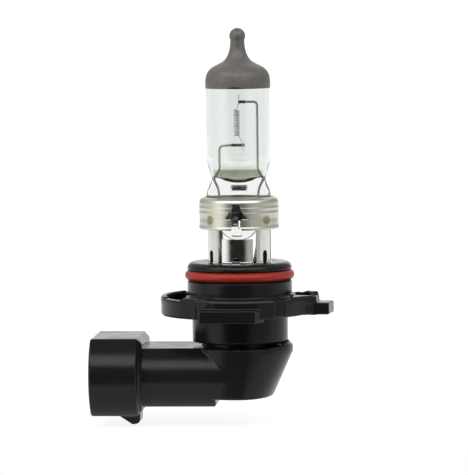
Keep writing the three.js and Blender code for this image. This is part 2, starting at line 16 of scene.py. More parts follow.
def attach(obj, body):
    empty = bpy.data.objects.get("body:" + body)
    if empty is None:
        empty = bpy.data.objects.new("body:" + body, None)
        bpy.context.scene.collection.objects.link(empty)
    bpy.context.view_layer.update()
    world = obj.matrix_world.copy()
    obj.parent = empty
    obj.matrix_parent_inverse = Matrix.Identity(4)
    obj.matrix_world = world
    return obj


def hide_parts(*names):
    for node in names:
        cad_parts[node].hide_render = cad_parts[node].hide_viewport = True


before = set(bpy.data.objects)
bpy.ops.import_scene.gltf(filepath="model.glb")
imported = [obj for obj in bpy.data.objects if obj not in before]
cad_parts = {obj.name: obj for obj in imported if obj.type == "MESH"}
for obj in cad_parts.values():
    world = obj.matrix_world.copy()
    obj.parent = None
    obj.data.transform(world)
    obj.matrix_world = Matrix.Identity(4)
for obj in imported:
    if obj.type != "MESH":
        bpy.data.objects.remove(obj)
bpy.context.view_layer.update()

MM = 0.001
FRONT = -90.0  # degrees from +X: the side that faces the camera

# Driving dimensions, as in the CAD model.
GLASS_RADIUS = 6.5
GLASS_WALL = 1.05
TIP_Z = 54.6
COATING_EDGE_Z = 42.5
COIL_X = -0.3
COIL_BOTTOM_Z = 32.7
COIL_LENGTH = 5.4
COIL_RADIUS = 0.62
COIL_TURNS = 16
SUPPORT_X = 3.9
RING_RADIUS = 8.05
RING_BOTTOM_Z = 14.0
RING_TOP_Z = 20.4
LEG_RADIUS = 6.5
SHEET = 0.35
PLATE_RADIUS = 6.9
COLLAR_RADIUS = 5.4
COLLAR_TOP_Z = 7.4
BARREL_RADIUS = 10.65
BARREL_TOP_Z = 7.2
SEAL_Z = 4.5
SEAL_SECTION = 1.0
SEAL_RADIUS = 10.15
FLANGE_THICKNESS = 3.4
LUG_RADIUS = 16.1
PAD_HEIGHT = 0.7
RIM_HEIGHT = 0.45
BACK_RIM_HEIGHT = 1.0
BACK_RIM_FALL = 0.1  # how far the right-hand rim falls for each millimetre towards the back
TAB_REACH = 18.75
PASSAGE_RADIUS = 3.9
NECK_RADIUS = 9.75
ELBOW_TOP_Z = -9.9
ELBOW_BOTTOM_Z = -20.2
ELBOW_RADIUS = 10.75
ARM_BOTTOM_Z = -21.8
SHROUD_END_X = -30.0
SHROUD_REAR_X = -20.2
SHROUD_TOP_Z = -7.85
SHROUD_BOTTOM_Z = -23.6
BLADE_Y = 3.3
BLADE_Z = -15.7
BLADE_WIDTH = 2.8
BLADE_THICKNESS = 0.8
POST_X = -0.8
LEAD_WIRE = 0.7


# ---- meshes ----


def add_mesh(name, points, faces, material):
    """A smooth mesh object. points are in millimetres."""
    mesh = bpy.data.meshes.new(name)
    mesh.from_pydata((np.asarray(points, float) * MM).tolist(), [], [list(map(int, f)) for f in faces])
    mesh.validate()
    mesh.materials.append(material)
    mesh.shade_smooth()
    thing = bpy.data.objects.new(name, mesh)
    bpy.context.scene.collection.objects.link(thing)
    return thing


def add_piece(node, kind, skin, material, normals=None, sharp=40):
    """Puts a skin of points and faces in place of a CAD node."""
    piece = add_mesh(f"{node}_{kind}", *skin, material)
    if normals is None:
        piece.data.set_sharp_from_angle(angle=math.radians(sharp))
    else:
        piece.data.normals_split_custom_set_from_vertices(normals.tolist())
    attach(piece, "root")
    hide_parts(node)


def grid_faces(rows, columns, wrap_rows=False, wrap_columns=True, start=0):
    """Quads between rows of points, each row with the same number of columns."""
    faces = []
    for i in range(rows if wrap_rows else rows - 1):
        for j in range(columns if wrap_columns else columns - 1):
            a = start + i * columns + j
            b = start + i * columns + (j + 1) % columns
            c = start + (i + 1) % rows * columns + (j + 1) % columns
            d = start + (i + 1) % rows * columns + j
            faces.append((a, b, c, d))
    return faces


def cubic(p0, p1, p2, p3, count):
    """Points on a Bezier curve, its end left out."""
    t = np.linspace(0, 1, count, endpoint=False)[:, None]
    p0, p1, p2, p3 = (np.array(p, float) for p in (p0, p1, p2, p3))
    return p0 * (1 - t) ** 3 + 3 * p1 * t * (1 - t) ** 2 + 3 * p2 * t * t * (1 - t) + p3 * t**3


def arc(centre, radius, start, end, count):
    """Points on a circle from one angle to another, in degrees, its end left out."""
    angle = np.radians(np.linspace(start, end, count, endpoint=False))[:, None]
    return np.array(centre) + radius * np.hstack([np.cos(angle), np.sin(angle)])


def smooth_rows(keys, levels):
    """Rows at the levels, on a curve through the keys that never overshoots. Column 0 holds the level."""
    keys = np.array(keys, float)
    place = keys[:, 0]
    steps = np.diff(place)
    slopes = np.diff(keys, axis=0) / steps[:, None]
    tangents = np.zeros_like(keys)
    tangents[0], tangents[-1] = slopes[0], slopes[-1]
    product = slopes[:-1] * slopes[1:]
    safe = np.where(product > 0, slopes[:-1] + slopes[1:], 1)
    tangents[1:-1] = np.where(product > 0, 2 * product / safe, 0)
    piece = np.clip(np.searchsorted(-place, -levels, side="right") - 1, 0, len(steps) - 1)
    h = steps[piece][:, None]
    t = ((levels - place[piece]) / steps[piece])[:, None]
    a, b = keys[piece], keys[piece + 1]
    ta, tb = tangents[piece] * h, tangents[piece + 1] * h
    leaving = a * (1 + 2 * t) * (1 - t) ** 2 + ta * t * (1 - t) ** 2
    rows = leaving + b * t * t * (3 - 2 * t) - tb * t * t * (1 - t)
    rows[:, 0] = levels
    return rows


def superellipse(z, width, depth, squareness, count):
    """A level ring whose points are evenly spaced along it."""
    angle = np.linspace(0, 2 * math.pi, 1441)
    bulge = lambda value: np.sign(value) * np.abs(value) ** (2 / squareness)
    x, y = width * bulge(np.cos(angle)), depth * bulge(np.sin(angle))
    length = np.concatenate([[0], np.cumsum(np.hypot(np.diff(x), np.diff(y)))])
    wanted = np.linspace(0, length[-1], count, endpoint=False)
    return np.column_stack([np.interp(wanted, length, x), np.interp(wanted, length, y), np.full(count, z)])


def capped(rings):
    """A closed skin through rings of points, its ends closed by a fan."""
    rings = np.array(rings)
    rows, columns = rings.shape[:2]
    points = np.vstack([rings.reshape(-1, 3), rings[0].mean(0), rings[-1].mean(0)])
    faces = grid_faces(rows, columns)
    first, last = rows * columns, rows * columns + 1
    for j in range(columns):
        k = (j + 1) % columns
        faces.append((k, j, first))
        faces.append(((rows - 1) * columns + j, (rows - 1) * columns + k, last))
    return points, faces


def flipped(faces):
    return [tuple(reversed(f)) for f in faces]


def lathed(profile, sides):
    """A skin round the axis. The profile is closed, and its [radius, z] points go clockwise."""
    rings = [superellipse(z, r, r, 2, sides) for r, z in profile]
    return np.vstack(rings), flipped(grid_faces(len(rings), sides, wrap_rows=True))


def joined(*skins):
    """Several (points, faces) as one."""
    points, faces, start = [], [], 0
    for more_points, more_faces in skins:
        points.append(more_points)
        faces += [tuple(v + start for v in f) for f in more_faces]
        start += len(more_points)
    return np.vstack(points), faces


def tube(path, radius, sides=16):
    """A round bar along a path of points, with its ends closed."""
    path = np.array(path, float)
    along = np.gradient(path, axis=0)
    along /= np.linalg.norm(along, axis=1)[:, None]
    side = np.cross(along[0], (0.0, 1.0, 0.0) if abs(along[0][1]) < 0.9 else (1.0, 0.0, 0.0))
    angle = np.linspace(0, 2 * math.pi, sides, endpoint=False)[:, None]
    radii = np.broadcast_to(radius, len(path))
    rings = []
    for place, direction, r in zip(path, along, radii):
        side = side - direction * side.dot(direction)
        side /= np.linalg.norm(side)
        up = np.cross(direction, side)
        rings.append(place + r * (np.cos(angle) * side + np.sin(angle) * up))
    points, faces = capped(rings)
    return points, flipped(faces)


def bent(points, bend, steps=10):
    """Straight runs between the points, with each corner rounded off."""
    points = [np.array(p, float) for p in points]
    path = [points[0]]
    for before, corner, after in zip(points, points[1:], points[2:]):
        start = corner + (before - corner) / np.linalg.norm(before - corner) * bend
        end = corner + (after - corner) / np.linalg.norm(after - corner) * bend
        for t in np.linspace(0, 1, steps):
            path.append(start * (1 - t) ** 2 + 2 * corner * t * (1 - t) + end * t * t)
    return path + [points[-1]]


# ---- solids as signed distances ----
# Each shape is a function of x, y and z that is negative inside. They meet in small fillets of a given size.


def polygon_distance(points, u, v):
    shape = np.broadcast(u, v).shape
    nearest = np.full(shape, np.inf)
    inside = np.zeros(shape, bool)
    for (u0, v0), (u1, v1) in zip(points, list(points[1:]) + [points[0]]):
        du, dv = u1 - u0, v1 - v0
        t = np.clip(((u - u0) * du + (v - v0) * dv) / (du * du + dv * dv), 0, 1)
        nearest = np.minimum(nearest, (u - u0 - t * du) ** 2 + (v - v0 - t * dv) ** 2)
        if dv:
            inside ^= ((v0 > v) != (v1 > v)) & (u < u0 + (v - v0) * du / dv)
    return np.where(inside, -1, 1) * np.sqrt(nearest)


def between(low, high, edge):
    """Combines a distance in plan with a level: solid between two levels, with rounded edges."""

    def distance(side, level):
        side = side + edge
        end = np.abs(level - (low + high) / 2) - (high - low) / 2 + edge
        inside = np.minimum(np.maximum(side, end), 0)
        return inside + np.hypot(np.maximum(side, 0), np.maximum(end, 0)) - edge

    return distance


def upright(plan, low, high, edge=0.15):
    solid = between(low, high, edge)
    return lambda x, y, z: solid(plan(x, y), z)


def crosswise(plan, low, high, edge=0.15):
    """The plan is drawn in x and z, and the solid runs along Y."""
    solid = between(low, high, edge)
    return lambda x, y, z: solid(plan(x, z), y)


def lengthwise(plan, low, high, edge=0.15):
    """The plan is drawn in y and z, and the solid runs along X."""
    solid = between(low, high, edge)
    return lambda x, y, z: solid(plan(y, z), x)


def revolved(points, edge=0.0):
    """The points are [radius, z] round a closed section."""
    return lambda x, y, z: polygon_distance(points, np.hypot(x, y), z) - edge


def outline(points):
    return lambda u, v: polygon_distance(points, u, v)


def disc(radius, centre=(0.0, 0.0)):
    return lambda u, v: np.hypot(u - centre[0], v - centre[1]) - radius


def block(low, high, edge=0.15):
    flat = lambda u, v: np.maximum(
        np.abs(u - (low[0] + high[0]) / 2) - (high[0] - low[0]) / 2,
        np.abs(v - (low[1] + high[1]) / 2) - (high[1] - low[1]) / 2,
    )
    return upright(flat, low[2], high[2], edge)


def wedge(inner, outer, start, end):
    """Part of a ring in plan, between two radii and two angles in degrees less than 180 apart."""
    a, b = math.radians(start), math.radians(end)

    def distance(u, v):
        r = np.hypot(u, v)
        beside = np.maximum(u * math.sin(a) - v * math.cos(a), v * math.cos(b) - u * math.sin(b))
        return np.maximum(np.maximum(r - outer, inner - r), beside)

    return distance


def nearer(near, other, fillet):
    """The smaller of two distances, with a fillet where they are alike."""
    blend = np.maximum(fillet - np.abs(near - other), 0) / fillet
    return np.minimum(near, other) - blend * blend * fillet / 4


def union(fillet, *shapes):
    def distance(x, y, z):
        near = shapes[0](x, y, z)
        for shape in shapes[1:]:
            near = nearer(near, shape(x, y, z), fillet)
        return near

    return distance


def cut(fillet, shape, *tools):
    def distance(x, y, z):
        left = shape(x, y, z)
        for tool in tools:
            left = -nearer(-left, tool(x, y, z), fillet)
        return left

    return distance


def turned(shape, degrees):
    c, s = math.cos(math.radians(degrees)), math.sin(math.radians(degrees))
    return lambda x, y, z: shape(c * x + s * y, c * y - s * x, z)


def slope(shape, points, reach):
    """The direction in which a distance grows, at each point."""
    x, y, z = points.T
    parts = [
        shape(x + reach, y, z) - shape(x - reach, y, z),
        shape(x, y + reach, z) - shape(x, y - reach, z),
        shape(x, y, z + reach) - shape(x, y, z - reach),
    ]
    direction = np.column_stack(parts)
    return direction / np.maximum(np.linalg.norm(direction, axis=1), 1e-9)[:, None]


def add_solid(node, kind, shape, low, high, voxel, material):
    """Meshes a shape on a grid, then moves each point onto the true surface."""
    axes = [np.arange(low[i], high[i] + voxel, voxel) for i in range(3)]
    x, y, z = np.meshgrid(*axes, indexing="ij", sparse=True)
    field = np.broadcast_to(shape(x, y, z), [len(a) for a in axes])
    grid = openvdb.FloatGrid(3 * voxel)
    grid.copyFromArray(np.ascontiguousarray(field, np.float32))
    points, triangles, quads = grid.convertToPolygons(0.0, 0.0)
    points = points * voxel + np.array(low)
    for _ in range(2):
        points = points - slope(shape, points, 0.02) * shape(*points.T)[:, None]
    skin = (points, [*quads, *triangles])
    add_piece(node, kind, skin, material, normals=slope(shape, points, 0.04))


# ---- materials ----

WELD_HEADINGS = (-133, -42)  # degrees from +X
WELD_Z = 15.95
WELD_SIZE = 1.3
# A band across the pinch: the thick glass's greener tint, with painted shade for the dark surroundings that
# it refracts.
PINCH_TINT_AND_SHADE_X = -0.2
PINCH_TINT_AND_SHADE_HALF_WIDTH = 5.3
PINCH_TINT_AND_SHADE_Z = 25.2
PINCH_TINT_AND_SHADE_HALF_HEIGHT = 1.1
# Where a dark reflection of the studio's front is painted on the paint's lower edge.
DARK_REFLECTION_CENTRE = (-0.1, -GLASS_RADIUS, COATING_EDGE_Z)
DARK_REFLECTION_SIZE = 0.95


def new_material(name, color, roughness, metallic=0.0):
    material = bpy.data.materials.new(name)
    material.use_nodes = True
    shader = material.node_tree.nodes["Principled BSDF"]
    shader.inputs["Base Color"].default_value = (*color, 1)
    shader.inputs["Roughness"].default_value = roughness
    shader.inputs["Metallic"].default_value = metallic
    return material, material.node_tree, shader


def add_noise(tree, scale, detail=3.0, stretch=(1, 1, 1)):
    """Noise fixed to the object, with scale in features per millimetre."""
    place = tree.nodes.new("ShaderNodeTexCoord")
    mapping = tree.nodes.new("ShaderNodeMapping")
    mapping.inputs["Scale"].default_value = [s / MM for s in stretch]
    noise = tree.nodes.new("ShaderNodeTexNoise")
    noise.inputs["Scale"].default_value = scale
    noise.inputs["Detail"].default_value = detail
    tree.links.new(place.outputs["Object"], mapping.inputs["Vector"])
    tree.links.new(mapping.outputs["Vector"], noise.inputs["Vector"])
    return noise.outputs["Fac"]


def add_range(tree, value, *limits):
    """Takes a value from its own two limits to two new ones."""
    spread = tree.nodes.new("ShaderNodeMapRange")
    for name, limit in zip(("From Min", "From Max", "To Min", "To Max"), limits):
        spread.inputs[name].default_value = limit
    tree.links.new(value, spread.inputs["Value"])
    return spread.outputs["Result"]


def vary(tree, factor, socket, low, high):
    tree.links.new(add_range(tree, factor, 0.3, 0.7, low, high), socket)


def add_ramp(tree, factor, stops):
    """A colour that goes through (place, colour) stops as the factor goes from 0 to 1."""
    ramp = tree.nodes.new("ShaderNodeValToRGB")
    elements = ramp.color_ramp.elements
    while len(elements) < len(stops):
        elements.new(0.5)
    for element, (place, color) in zip(elements, stops):
        element.position = place
        element.color = (*color, 1)
    tree.links.new(factor, ramp.inputs["Fac"])
    return ramp.outputs["Color"]


def vary_color(tree, factor, socket, stops):
    """Drives a colour from a factor, through (place, colour) stops."""
    tree.links.new(add_ramp(tree, factor, stops), socket)


def roughen(tree, shader, height, strength, depth_mm):
    bump = tree.nodes.new("ShaderNodeBump")
    bump.inputs["Strength"].default_value = strength
    bump.inputs["Distance"].default_value = depth_mm * MM
    tree.links.new(height, bump.inputs["Height"])
    tree.links.new(bump.outputs["Normal"], shader.inputs["Normal"])


def add_math(tree, operation, *inputs):
    node = tree.nodes.new("ShaderNodeMath")
    node.operation = operation
    for socket, value in zip(node.inputs, inputs):
        if isinstance(value, (int, float)):
            socket.default_value = value
        else:
            tree.links.new(value, socket)
    return node.outputs[0]


def grained(name, color, metallic, roughness, scale, stretch=(1, 1, 1), detail=3.0, bump=None):
    """A material whose roughness goes between two limits with a noise. bump is a strength and a depth."""
    material, tree, shader = new_material(name, color, roughness[0], metallic)
    grain = add_noise(tree, scale, detail, stretch)
    vary(tree, grain, shader.inputs["Roughness"], *roughness)
    if bump:
        roughen(tree, shader, grain, *bump)
    return material, tree, shader, grain


def make_quartz():
    """Clear quartz, greener where the glass is thick in the pinch, and darkened there with painted shade for
    the dark surroundings that the pinch refracts.
    """
    clear, tinted_and_shaded = (0.845, 0.868, 0.85), (0.54, 0.57, 0.48)
    material, tree, shader = new_material("quartz", clear, 0.0)
    streaks = add_noise(tree, 0.9, 3.0, (0.3, 1, 2.5))
    # The pinch's band: a real greener tint and painted shade together.
    across = add_spot(tree, (PINCH_TINT_AND_SHADE_X, 0, 0), PINCH_TINT_AND_SHADE_HALF_WIDTH, (1, 0, 0), 0.85)
    level = add_spot(tree, (0, 0, PINCH_TINT_AND_SHADE_Z), PINCH_TINT_AND_SHADE_HALF_HEIGHT, (0, 0, 1), 0.7)
    band = add_math(tree, "MULTIPLY", across, level)
    tint_and_shade = add_math(tree, "MULTIPLY", band, add_math(tree, "ADD", streaks, 0.35))
    vary_color(tree, tint_and_shade, shader.inputs["Base Color"], [(0.0, clear), (0.85, tinted_and_shaded)])
    shader.inputs["Transmission Weight"].default_value = 1.0
    shader.inputs["IOR"].default_value = 1.46
    waves = add_noise(tree, 0.35, 1.0, (1, 1, 0.4))
    roughen(tree, shader, waves, 0.12, 0.1)
    return material


def make_antiglare_paint():
    """Grey paint, darker in one small place on its front edge, where a reflection of the dark studio front
    is painted.
    """
    grey, roughness, bump = (0.108, 0.101, 0.093), (0.36, 0.48), (0.15, 0.02)
    material, tree, shader, grain = grained("antiglare_paint", grey, 0.0, roughness, 1.0, bump=bump)
    shader.inputs["Specular IOR Level"].default_value = 0.4
    # A painted reflection: a dark patch on the front edge.
    painted_reflection = add_spot(tree, DARK_REFLECTION_CENTRE, DARK_REFLECTION_SIZE, (0.5, 0.1, 2))
    tone = add_math(tree, "SUBTRACT", grain, painted_reflection)
    stops = [(0.0, (0.02, 0.019, 0.017)), (0.3, (0.1, 0.094, 0.086)), (0.7, (0.13, 0.122, 0.113))]
    vary_color(tree, tone, shader.inputs["Base Color"], stops)
    return material


def make_wire(name, color, roughness):
    return grained(name, color, 1.0, (roughness - 0.05, roughness + 0.12), 2.0)[0]


def add_spot(tree, centre, size, squeeze=(1, 1, 1), full=0.5):
    """1 near a point, 0 beyond the size and 1 up to full times it. squeeze scales each axis."""
    place = tree.nodes.new("ShaderNodeTexCoord")
    scaled = tree.nodes.new("ShaderNodeVectorMath")
    scaled.operation = "MULTIPLY"
    scaled.inputs[1].default_value = squeeze
    away = tree.nodes.new("ShaderNodeVectorMath")
    away.operation = "DISTANCE"
    away.inputs[1].default_value = [c * s * MM for c, s in zip(centre, squeeze)]
    tree.links.new(place.outputs["Object"], scaled.inputs[0])
    tree.links.new(scaled.outputs["Vector"], away.inputs[0])
    return add_range(tree, away.outputs["Value"], full * size * MM, size * MM, 1, 0)


def make_satin_steel():
    """The ring: steel with a fine brushed grain round it, and browned at its two weld spots."""
    steel_color, burnt_color = (0.58, 0.58, 0.5), (0.27, 0.27, 0.14)
    roughness, brushing, bump = (0.27, 0.38), (0.15, 0.15, 6), (0.25, 0.02)
    material, tree, shader, _ = grained("satin_steel", steel_color, 1.0, roughness, 1.2, brushing, 4.0, bump)
    burnt = add_noise(tree, 1.6)
    total = None
    for heading in WELD_HEADINGS:
        a = math.radians(heading)
        spot = add_spot(tree, (RING_RADIUS * math.cos(a), RING_RADIUS * math.sin(a), WELD_Z), WELD_SIZE)
        total = spot if total is None else add_math(tree, "MAXIMUM", total, spot)
    patchy = add_math(tree, "MULTIPLY", total, add_math(tree, "ADD", burnt, 0.2))
    vary_color(tree, patchy, shader.inputs["Base Color"], [(0.1, steel_color), (0.7, burnt_color)])
    return material


def make_bright_nickel():
    return grained("bright_nickel", (0.66, 0.65, 0.61), 1.0, (0.08, 0.2), 0.6, bump=(0.2, 0.04))[0]


def make_dark_nickel():
    return grained("dark_nickel", (0.35, 0.35, 0.33), 1.0, (0.22, 0.4), 1.5)[0]


def make_moulded_plastic():
    black = (0.0075, 0.0088, 0.008)
    material, tree, shader, _ = grained("moulded_plastic", black, 0.0, (0.17, 0.27), 0.15)
    shader.inputs["Specular IOR Level"].default_value = 0.18
    roughen(tree, shader, add_noise(tree, 2.0), 0.1, 0.015)
    return material


def make_seal_rubber():
    red, roughness, bump = (0.28, 0.017, 0.006), (0.36, 0.5), (0.15, 0.02)
    material, tree, shader, grain = grained("seal_rubber", red, 0.0, roughness, 1.5, bump=bump)
    shader.inputs["Specular IOR Level"].default_value = 0.3
    stops = [(0.3, (0.25, 0.014, 0.006)), (0.7, (0.33, 0.024, 0.009))]
    vary_color(tree, grain, shader.inputs["Base Color"], stops)
    return material


def make_brass():
    return grained("tinned_brass", (0.72, 0.62, 0.4), 1.0, (0.2, 0.38), 1.0, (0.3, 1, 3))[0]


def make_resin():
    return grained("potting_resin", (0.02, 0.017, 0.014), 0.0, (0.2, 0.4), 0.5, bump=(0.3, 0.1))[0]


# ---- the glass and its paint ----

NUB_RADIUS = 1.5
NUB_Z = TIP_Z - NUB_RADIUS
NECK_HALF_WIDTH = 1.3
SHOULDER_Z = 43.6
TUBE_BOTTOM_Z = 28.2
GLASS_SIDES = 144
PAINT_GAP = 0.02  # keeps the paint's inside clear of the glass
PAINT_OUTSIDE = 0.13
RIDGES_TOP_Z = 22.8
RIDGES_BOTTOM_Z = 21.6
RIDGE_PITCH = 0.3
RIDGE_DEPTH = 0.2
CRESCENT_X = -0.3
CRESCENT_Z = 12.4
CRESCENT_REACH = 1.35
CRESCENT_WIDTH = 0.11
CRESCENT_DEPTH = 0.14
HOLLOW_TOP_Z = 49.4
HOLLOW_BOTTOM_Z = 23.35
BORE = GLASS_RADIUS - GLASS_WALL
# Runs of rows down the glass: start, end and number.
PINCH_LEVELS = [
    (SHOULDER_Z - 0.4, 28.8, 20),
    (28.6, RIDGES_TOP_Z + 0.1, 56),
    (RIDGES_TOP_Z, RIDGES_BOTTOM_Z, 49),
    (RIDGES_BOTTOM_Z - 0.1, 14.9, 40),
    (14.8, 13.1, 18),
    (13.04, 11.7, 50),
]
# Level, half width, half depth and squareness of the glass, then of the hollow. 2 is an ellipse.
PINCH_KEYS = [
    [SHOULDER_Z - 0.4, GLASS_RADIUS, GLASS_RADIUS, 2],
    [29.0, GLASS_RADIUS, GLASS_RADIUS, 2],
    [TUBE_BOTTOM_Z, 6.47, 6.45, 2],
    [27.2, 6.35, 5.9, 2],
    [26.2, 6.1, 4.5, 2.1],
    [25.2, 5.75, 3.1, 2.3],
    [24.3, 5.5, 2.2, 3],
    [23.0, 5.8, 1.85, 5],
    [21.7, 6.35, 1.85, 8],
    [20.6, 6.5, 1.85, 8],
    [14.9, 6.5, 1.85, 8],
    [14.3, 5.9, 1.8, 5],
    [14.1, 3.5, 1.8, 5],
    [13.2, 3.35, 1.8, 6],
    [12.5, 2.85, 1.8, 6],
    [12.0, 2.1, 1.75, 6],
    [11.76, 1.5, 1.65, 5],
    [11.7, 1.2, 1.5, 5],
]
HOLLOW_KEYS = [
    [HOLLOW_TOP_Z, 0.3, 0.3, 2],
    [48.2, 0.8, 0.8, 2],
    [47.2, 2.2, 2.2, 2],
    [46.4, 3.7, 3.7, 2],
    [45.4, 4.8, 4.8, 2],
    [SHOULDER_Z, BORE, BORE, 2],
    [28.6, BORE, BORE, 2],
    [27.4, 5.4, 5.0, 2],
    [26.4, 5.3, 3.8, 2],
    [25.6, 5.1, 2.5, 2.2],
    [25.0, 4.9, 1.7, 2.2],
    [24.6, 4.8, 1.35, 2],
    [24.45, 4.5, 1.3, 2],
    [24.3, 3.7, 1.2, 2],
    [24.05, 3.2, 1.0, 2],
    [23.9, 2.9, 0.8, 2],
    [23.7, 2.3, 0.52, 2],
    [23.5, 1.5, 0.28, 2],
    [HOLLOW_BOTTOM_Z, 0.7, 0.12, 2],
]


def tip_outline(count):
    """[radius, z] points down the outside of the tip, from its top to the tube."""
    neck_angle = -math.degrees(math.acos(NECK_HALF_WIDTH / NUB_RADIUS))
    neck_z = NUB_Z + NUB_RADIUS * math.sin(math.radians(neck_angle))
    return np.vstack(
        [
            arc((0, NUB_Z), NUB_RADIUS, 88, neck_angle, count),
            cubic((NECK_HALF_WIDTH, neck_z), (NECK_HALF_WIDTH, 51.0), (1.55, 48.9), (2.85, 47.9), count),
            cubic((2.85, 47.9), (4.3, 46.8), (GLASS_RADIUS, 46.9), (GLASS_RADIUS, SHOULDER_Z), count),
            [[GLASS_RADIUS, SHOULDER_Z]],
        ]
    )


def serrations(points):
    """Ridges pressed into the back of the pinch, just under the hollow. Returns how deep each point lies."""
    x, y, z = points.T
    inside = (np.abs(x) < 1.7) & (y > 0) & (z > RIDGES_BOTTOM_Z) & (z < RIDGES_TOP_Z)
    wave = np.abs((z - RIDGES_BOTTOM_Z) / RIDGE_PITCH % 1 - 0.5) * 2
    return np.where(inside, RIDGE_DEPTH * (1 - wave), 0)


def crescent(points):
    """A curved groove across the front of the stub below the ring. Returns how deep each point lies."""
    x, y, z = points.T
    level = CRESCENT_Z + 0.12 * (x - CRESCENT_X) ** 2
    fade = np.clip(1 - (np.abs(x - CRESCENT_X) / CRESCENT_REACH) ** 4, 0, 1)
    return np.where(y < 0, CRESCENT_DEPTH * fade * np.exp(-(((z - level) / CRESCENT_WIDTH) ** 2)), 0)


def glass_outside():
    """The skin of the tip, the tube, the flattened pinch and the stub."""
    tip = [superellipse(z, r, r, 2, GLASS_SIDES) for r, z in tip_outline(20)]
    body = smooth_rows(PINCH_KEYS, np.concatenate([np.linspace(*run) for run in PINCH_LEVELS]))
    points, faces = capped(tip + [superellipse(*row, GLASS_SIDES) for row in body])
    points[:, 1] += crescent(points) - serrations(points)
    return points, faces


def glass_hollow():
    """The skin of the space that holds the filament, closed off steeply above the pinch."""
    rows = smooth_rows(HOLLOW_KEYS, np.linspace(HOLLOW_TOP_Z, HOLLOW_BOTTOM_Z, 200))
    return capped([superellipse(*row, GLASS_SIDES) for row in rows])


def glass_envelope(material):
    outside_points, outside_faces = glass_outside()
    skin = joined((outside_points, flipped(outside_faces)), glass_hollow())
    add_piece("glass_envelope", "skin", skin, material, sharp=60)


def antiglare_cap(material):
    """A thin skin of paint, the glass's outline moved out along its normals."""
    glass = np.vstack([tip_outline(24), [[GLASS_RADIUS, SHOULDER_Z - 0.3], [GLASS_RADIUS, COATING_EDGE_Z]]])
    along = np.gradient(glass, axis=0)
    outward = np.column_stack([-along[:, 1], along[:, 0]]) / np.linalg.norm(along, axis=1)[:, None]
    inner = glass + PAINT_GAP * outward
    outer = glass + PAINT_OUTSIDE * outward
    outer[-1] = (outer[-1] + inner[-1]) / 2
    inner[0, 0] = outer[0, 0] = 0.02
    skin = lathed(np.vstack([outer, inner[::-1]]), 128)
    add_piece("antiglare_cap", "skin", skin, material, sharp=60)


# ---- the filament and what holds it ----

UPPER_ARM_Z = 39.7
LOWER_ARM_Z = 30.9
CLAMP_RADIUS = 0.31
COIL_WIRE = 0.17
TAIL_Y = -(CLAMP_RADIUS + COIL_WIRE / 2 + 0.03)
FOIL_TOP_Z = 20.0
FOIL_BOTTOM_Z = 15.4


def filament(material):
    """The coil, with a straight tail at each end that passes its clamp."""
    start = math.radians(-40)
    turn = np.linspace(0, 1, COIL_TURNS * 28)
    angle = start + 2 * math.pi * (COIL_TURNS - 50 / 360) * turn
    x, y = COIL_X + COIL_RADIUS * np.cos(angle), COIL_RADIUS * np.sin(angle)
    coil = np.column_stack([x, y, COIL_BOTTOM_Z + COIL_LENGTH * turn])
    bottom = bent([(0.95, TAIL_Y, LOWER_ARM_Z - 1.2), (0.85, TAIL_Y, LOWER_ARM_Z + 0.5), coil[0]], 0.3)
    top = bent([coil[-1], (0.15, TAIL_Y, UPPER_ARM_Z - 0.5), (0.2, TAIL_Y, UPPER_ARM_Z + 1.6)], 0.3)
    wire = tube(np.vstack([bottom[:-1], coil, top[1:]]), COIL_WIRE / 2, 8)
    add_piece("filament", "coil", wire, material)


def support_wire(node, x, arm_z, reach, rise, material):
    """A wire that bows out inside the pinch, stands up, and bends over to the axis. Its arm can slope."""
    out = math.copysign(0.8, x)
    route = [[27, x], [25.9, x + 0.2 * out], [24, x + out], [21.8, x + 0.3 * out], [FOIL_TOP_Z, x]]
    bow = smooth_rows(route, np.linspace(27, FOIL_TOP_Z, 30))
    stand = [(side, 0, z) for z, side in bow[::-1]]
    bend = bent([(x, 0, 28), (x, 0, arm_z - rise), (reach, 0, arm_z + rise)], 0.9, 12)
    add_piece(node, "bar", tube(stand + bend, 0.23, 14), material)


def clamp(node, low, high, z, material):
    """A crimped tube, its ends rounded and its middle pinched."""
    place = np.linspace(0, 1, 25)
    crimp = 0.03 * np.exp(-(((place - 0.5) / 0.12) ** 2))
    radius = CLAMP_RADIUS * (1 - 0.5 * np.abs(2 * place - 1) ** 14) - crimp
    path = np.column_stack([low + (high - low) * place, np.zeros(25), np.full(25, z)])
    add_piece(node, "sleeve", tube(path, radius, 16), material)


def seal_foil(node, x, material):
    """A foil with feathered edges and narrower ends, in the pinch."""
    section = superellipse(0, 1.1, 0.05, 1.2, 24)
    levels = np.linspace(FOIL_BOTTOM_Z + 0.06, FOIL_TOP_Z - 0.06, 14)
    widths = [0.8, *[1.0] * 12, 0.8]
    rings = [section * (width, 1, 0) + (x, 0, z) for width, z in zip(widths, levels)]
    add_piece(node, "leaf", capped(rings), material)


def lead_wire(node, x, side, material):
    """A wire from the foil down through the barrel to its terminal's post."""
    end_y = side * (BLADE_Y - (BLADE_THICKNESS + LEAD_WIRE) / 2 - 0.06)
    corners = [(x, 0, FOIL_BOTTOM_Z), (x, 0, 11.6), (x * 0.84, 0, 8), (x * 0.68, 0, 5)]
    corners += [(x * 0.5, end_y * 0.5, 1), (x * 0.2 - 0.6, end_y * 0.95, -2.5)]
    corners += [(POST_X, end_y, -5), (POST_X, end_y, -7.5)]
    wire = tube(bent(corners, 1.0, 8), LEAD_WIRE / 2, 14)
    add_piece(node, "bar", wire, material)


# ---- the metal holder ----

RING_WALL = 0.3
ROLL_RADIUS = 1.1
WINDOW = [(2.25, 16.25), (2.02, 16.68), (1.65, 17.2), (1.24, 17.8), (0.95, 18.25), (0.88, 18.8), (0.8, 19.2)]
WINDOW_SLOT = 1.02  # half its width
# The level, width and height of each raised line. The last one is a shallow hollow.
RING_LINES = [(18.3, 0.24, 0.07), (17.3, 0.26, 0.06), (14.3, 0.24, 0.1), (16.2, 0.5, -0.04)]


def mirrored(points):
    """The points, then their images across the axis in reverse order, as a closed outline."""
    return points + [(-x, z) for x, z in reversed(points)]


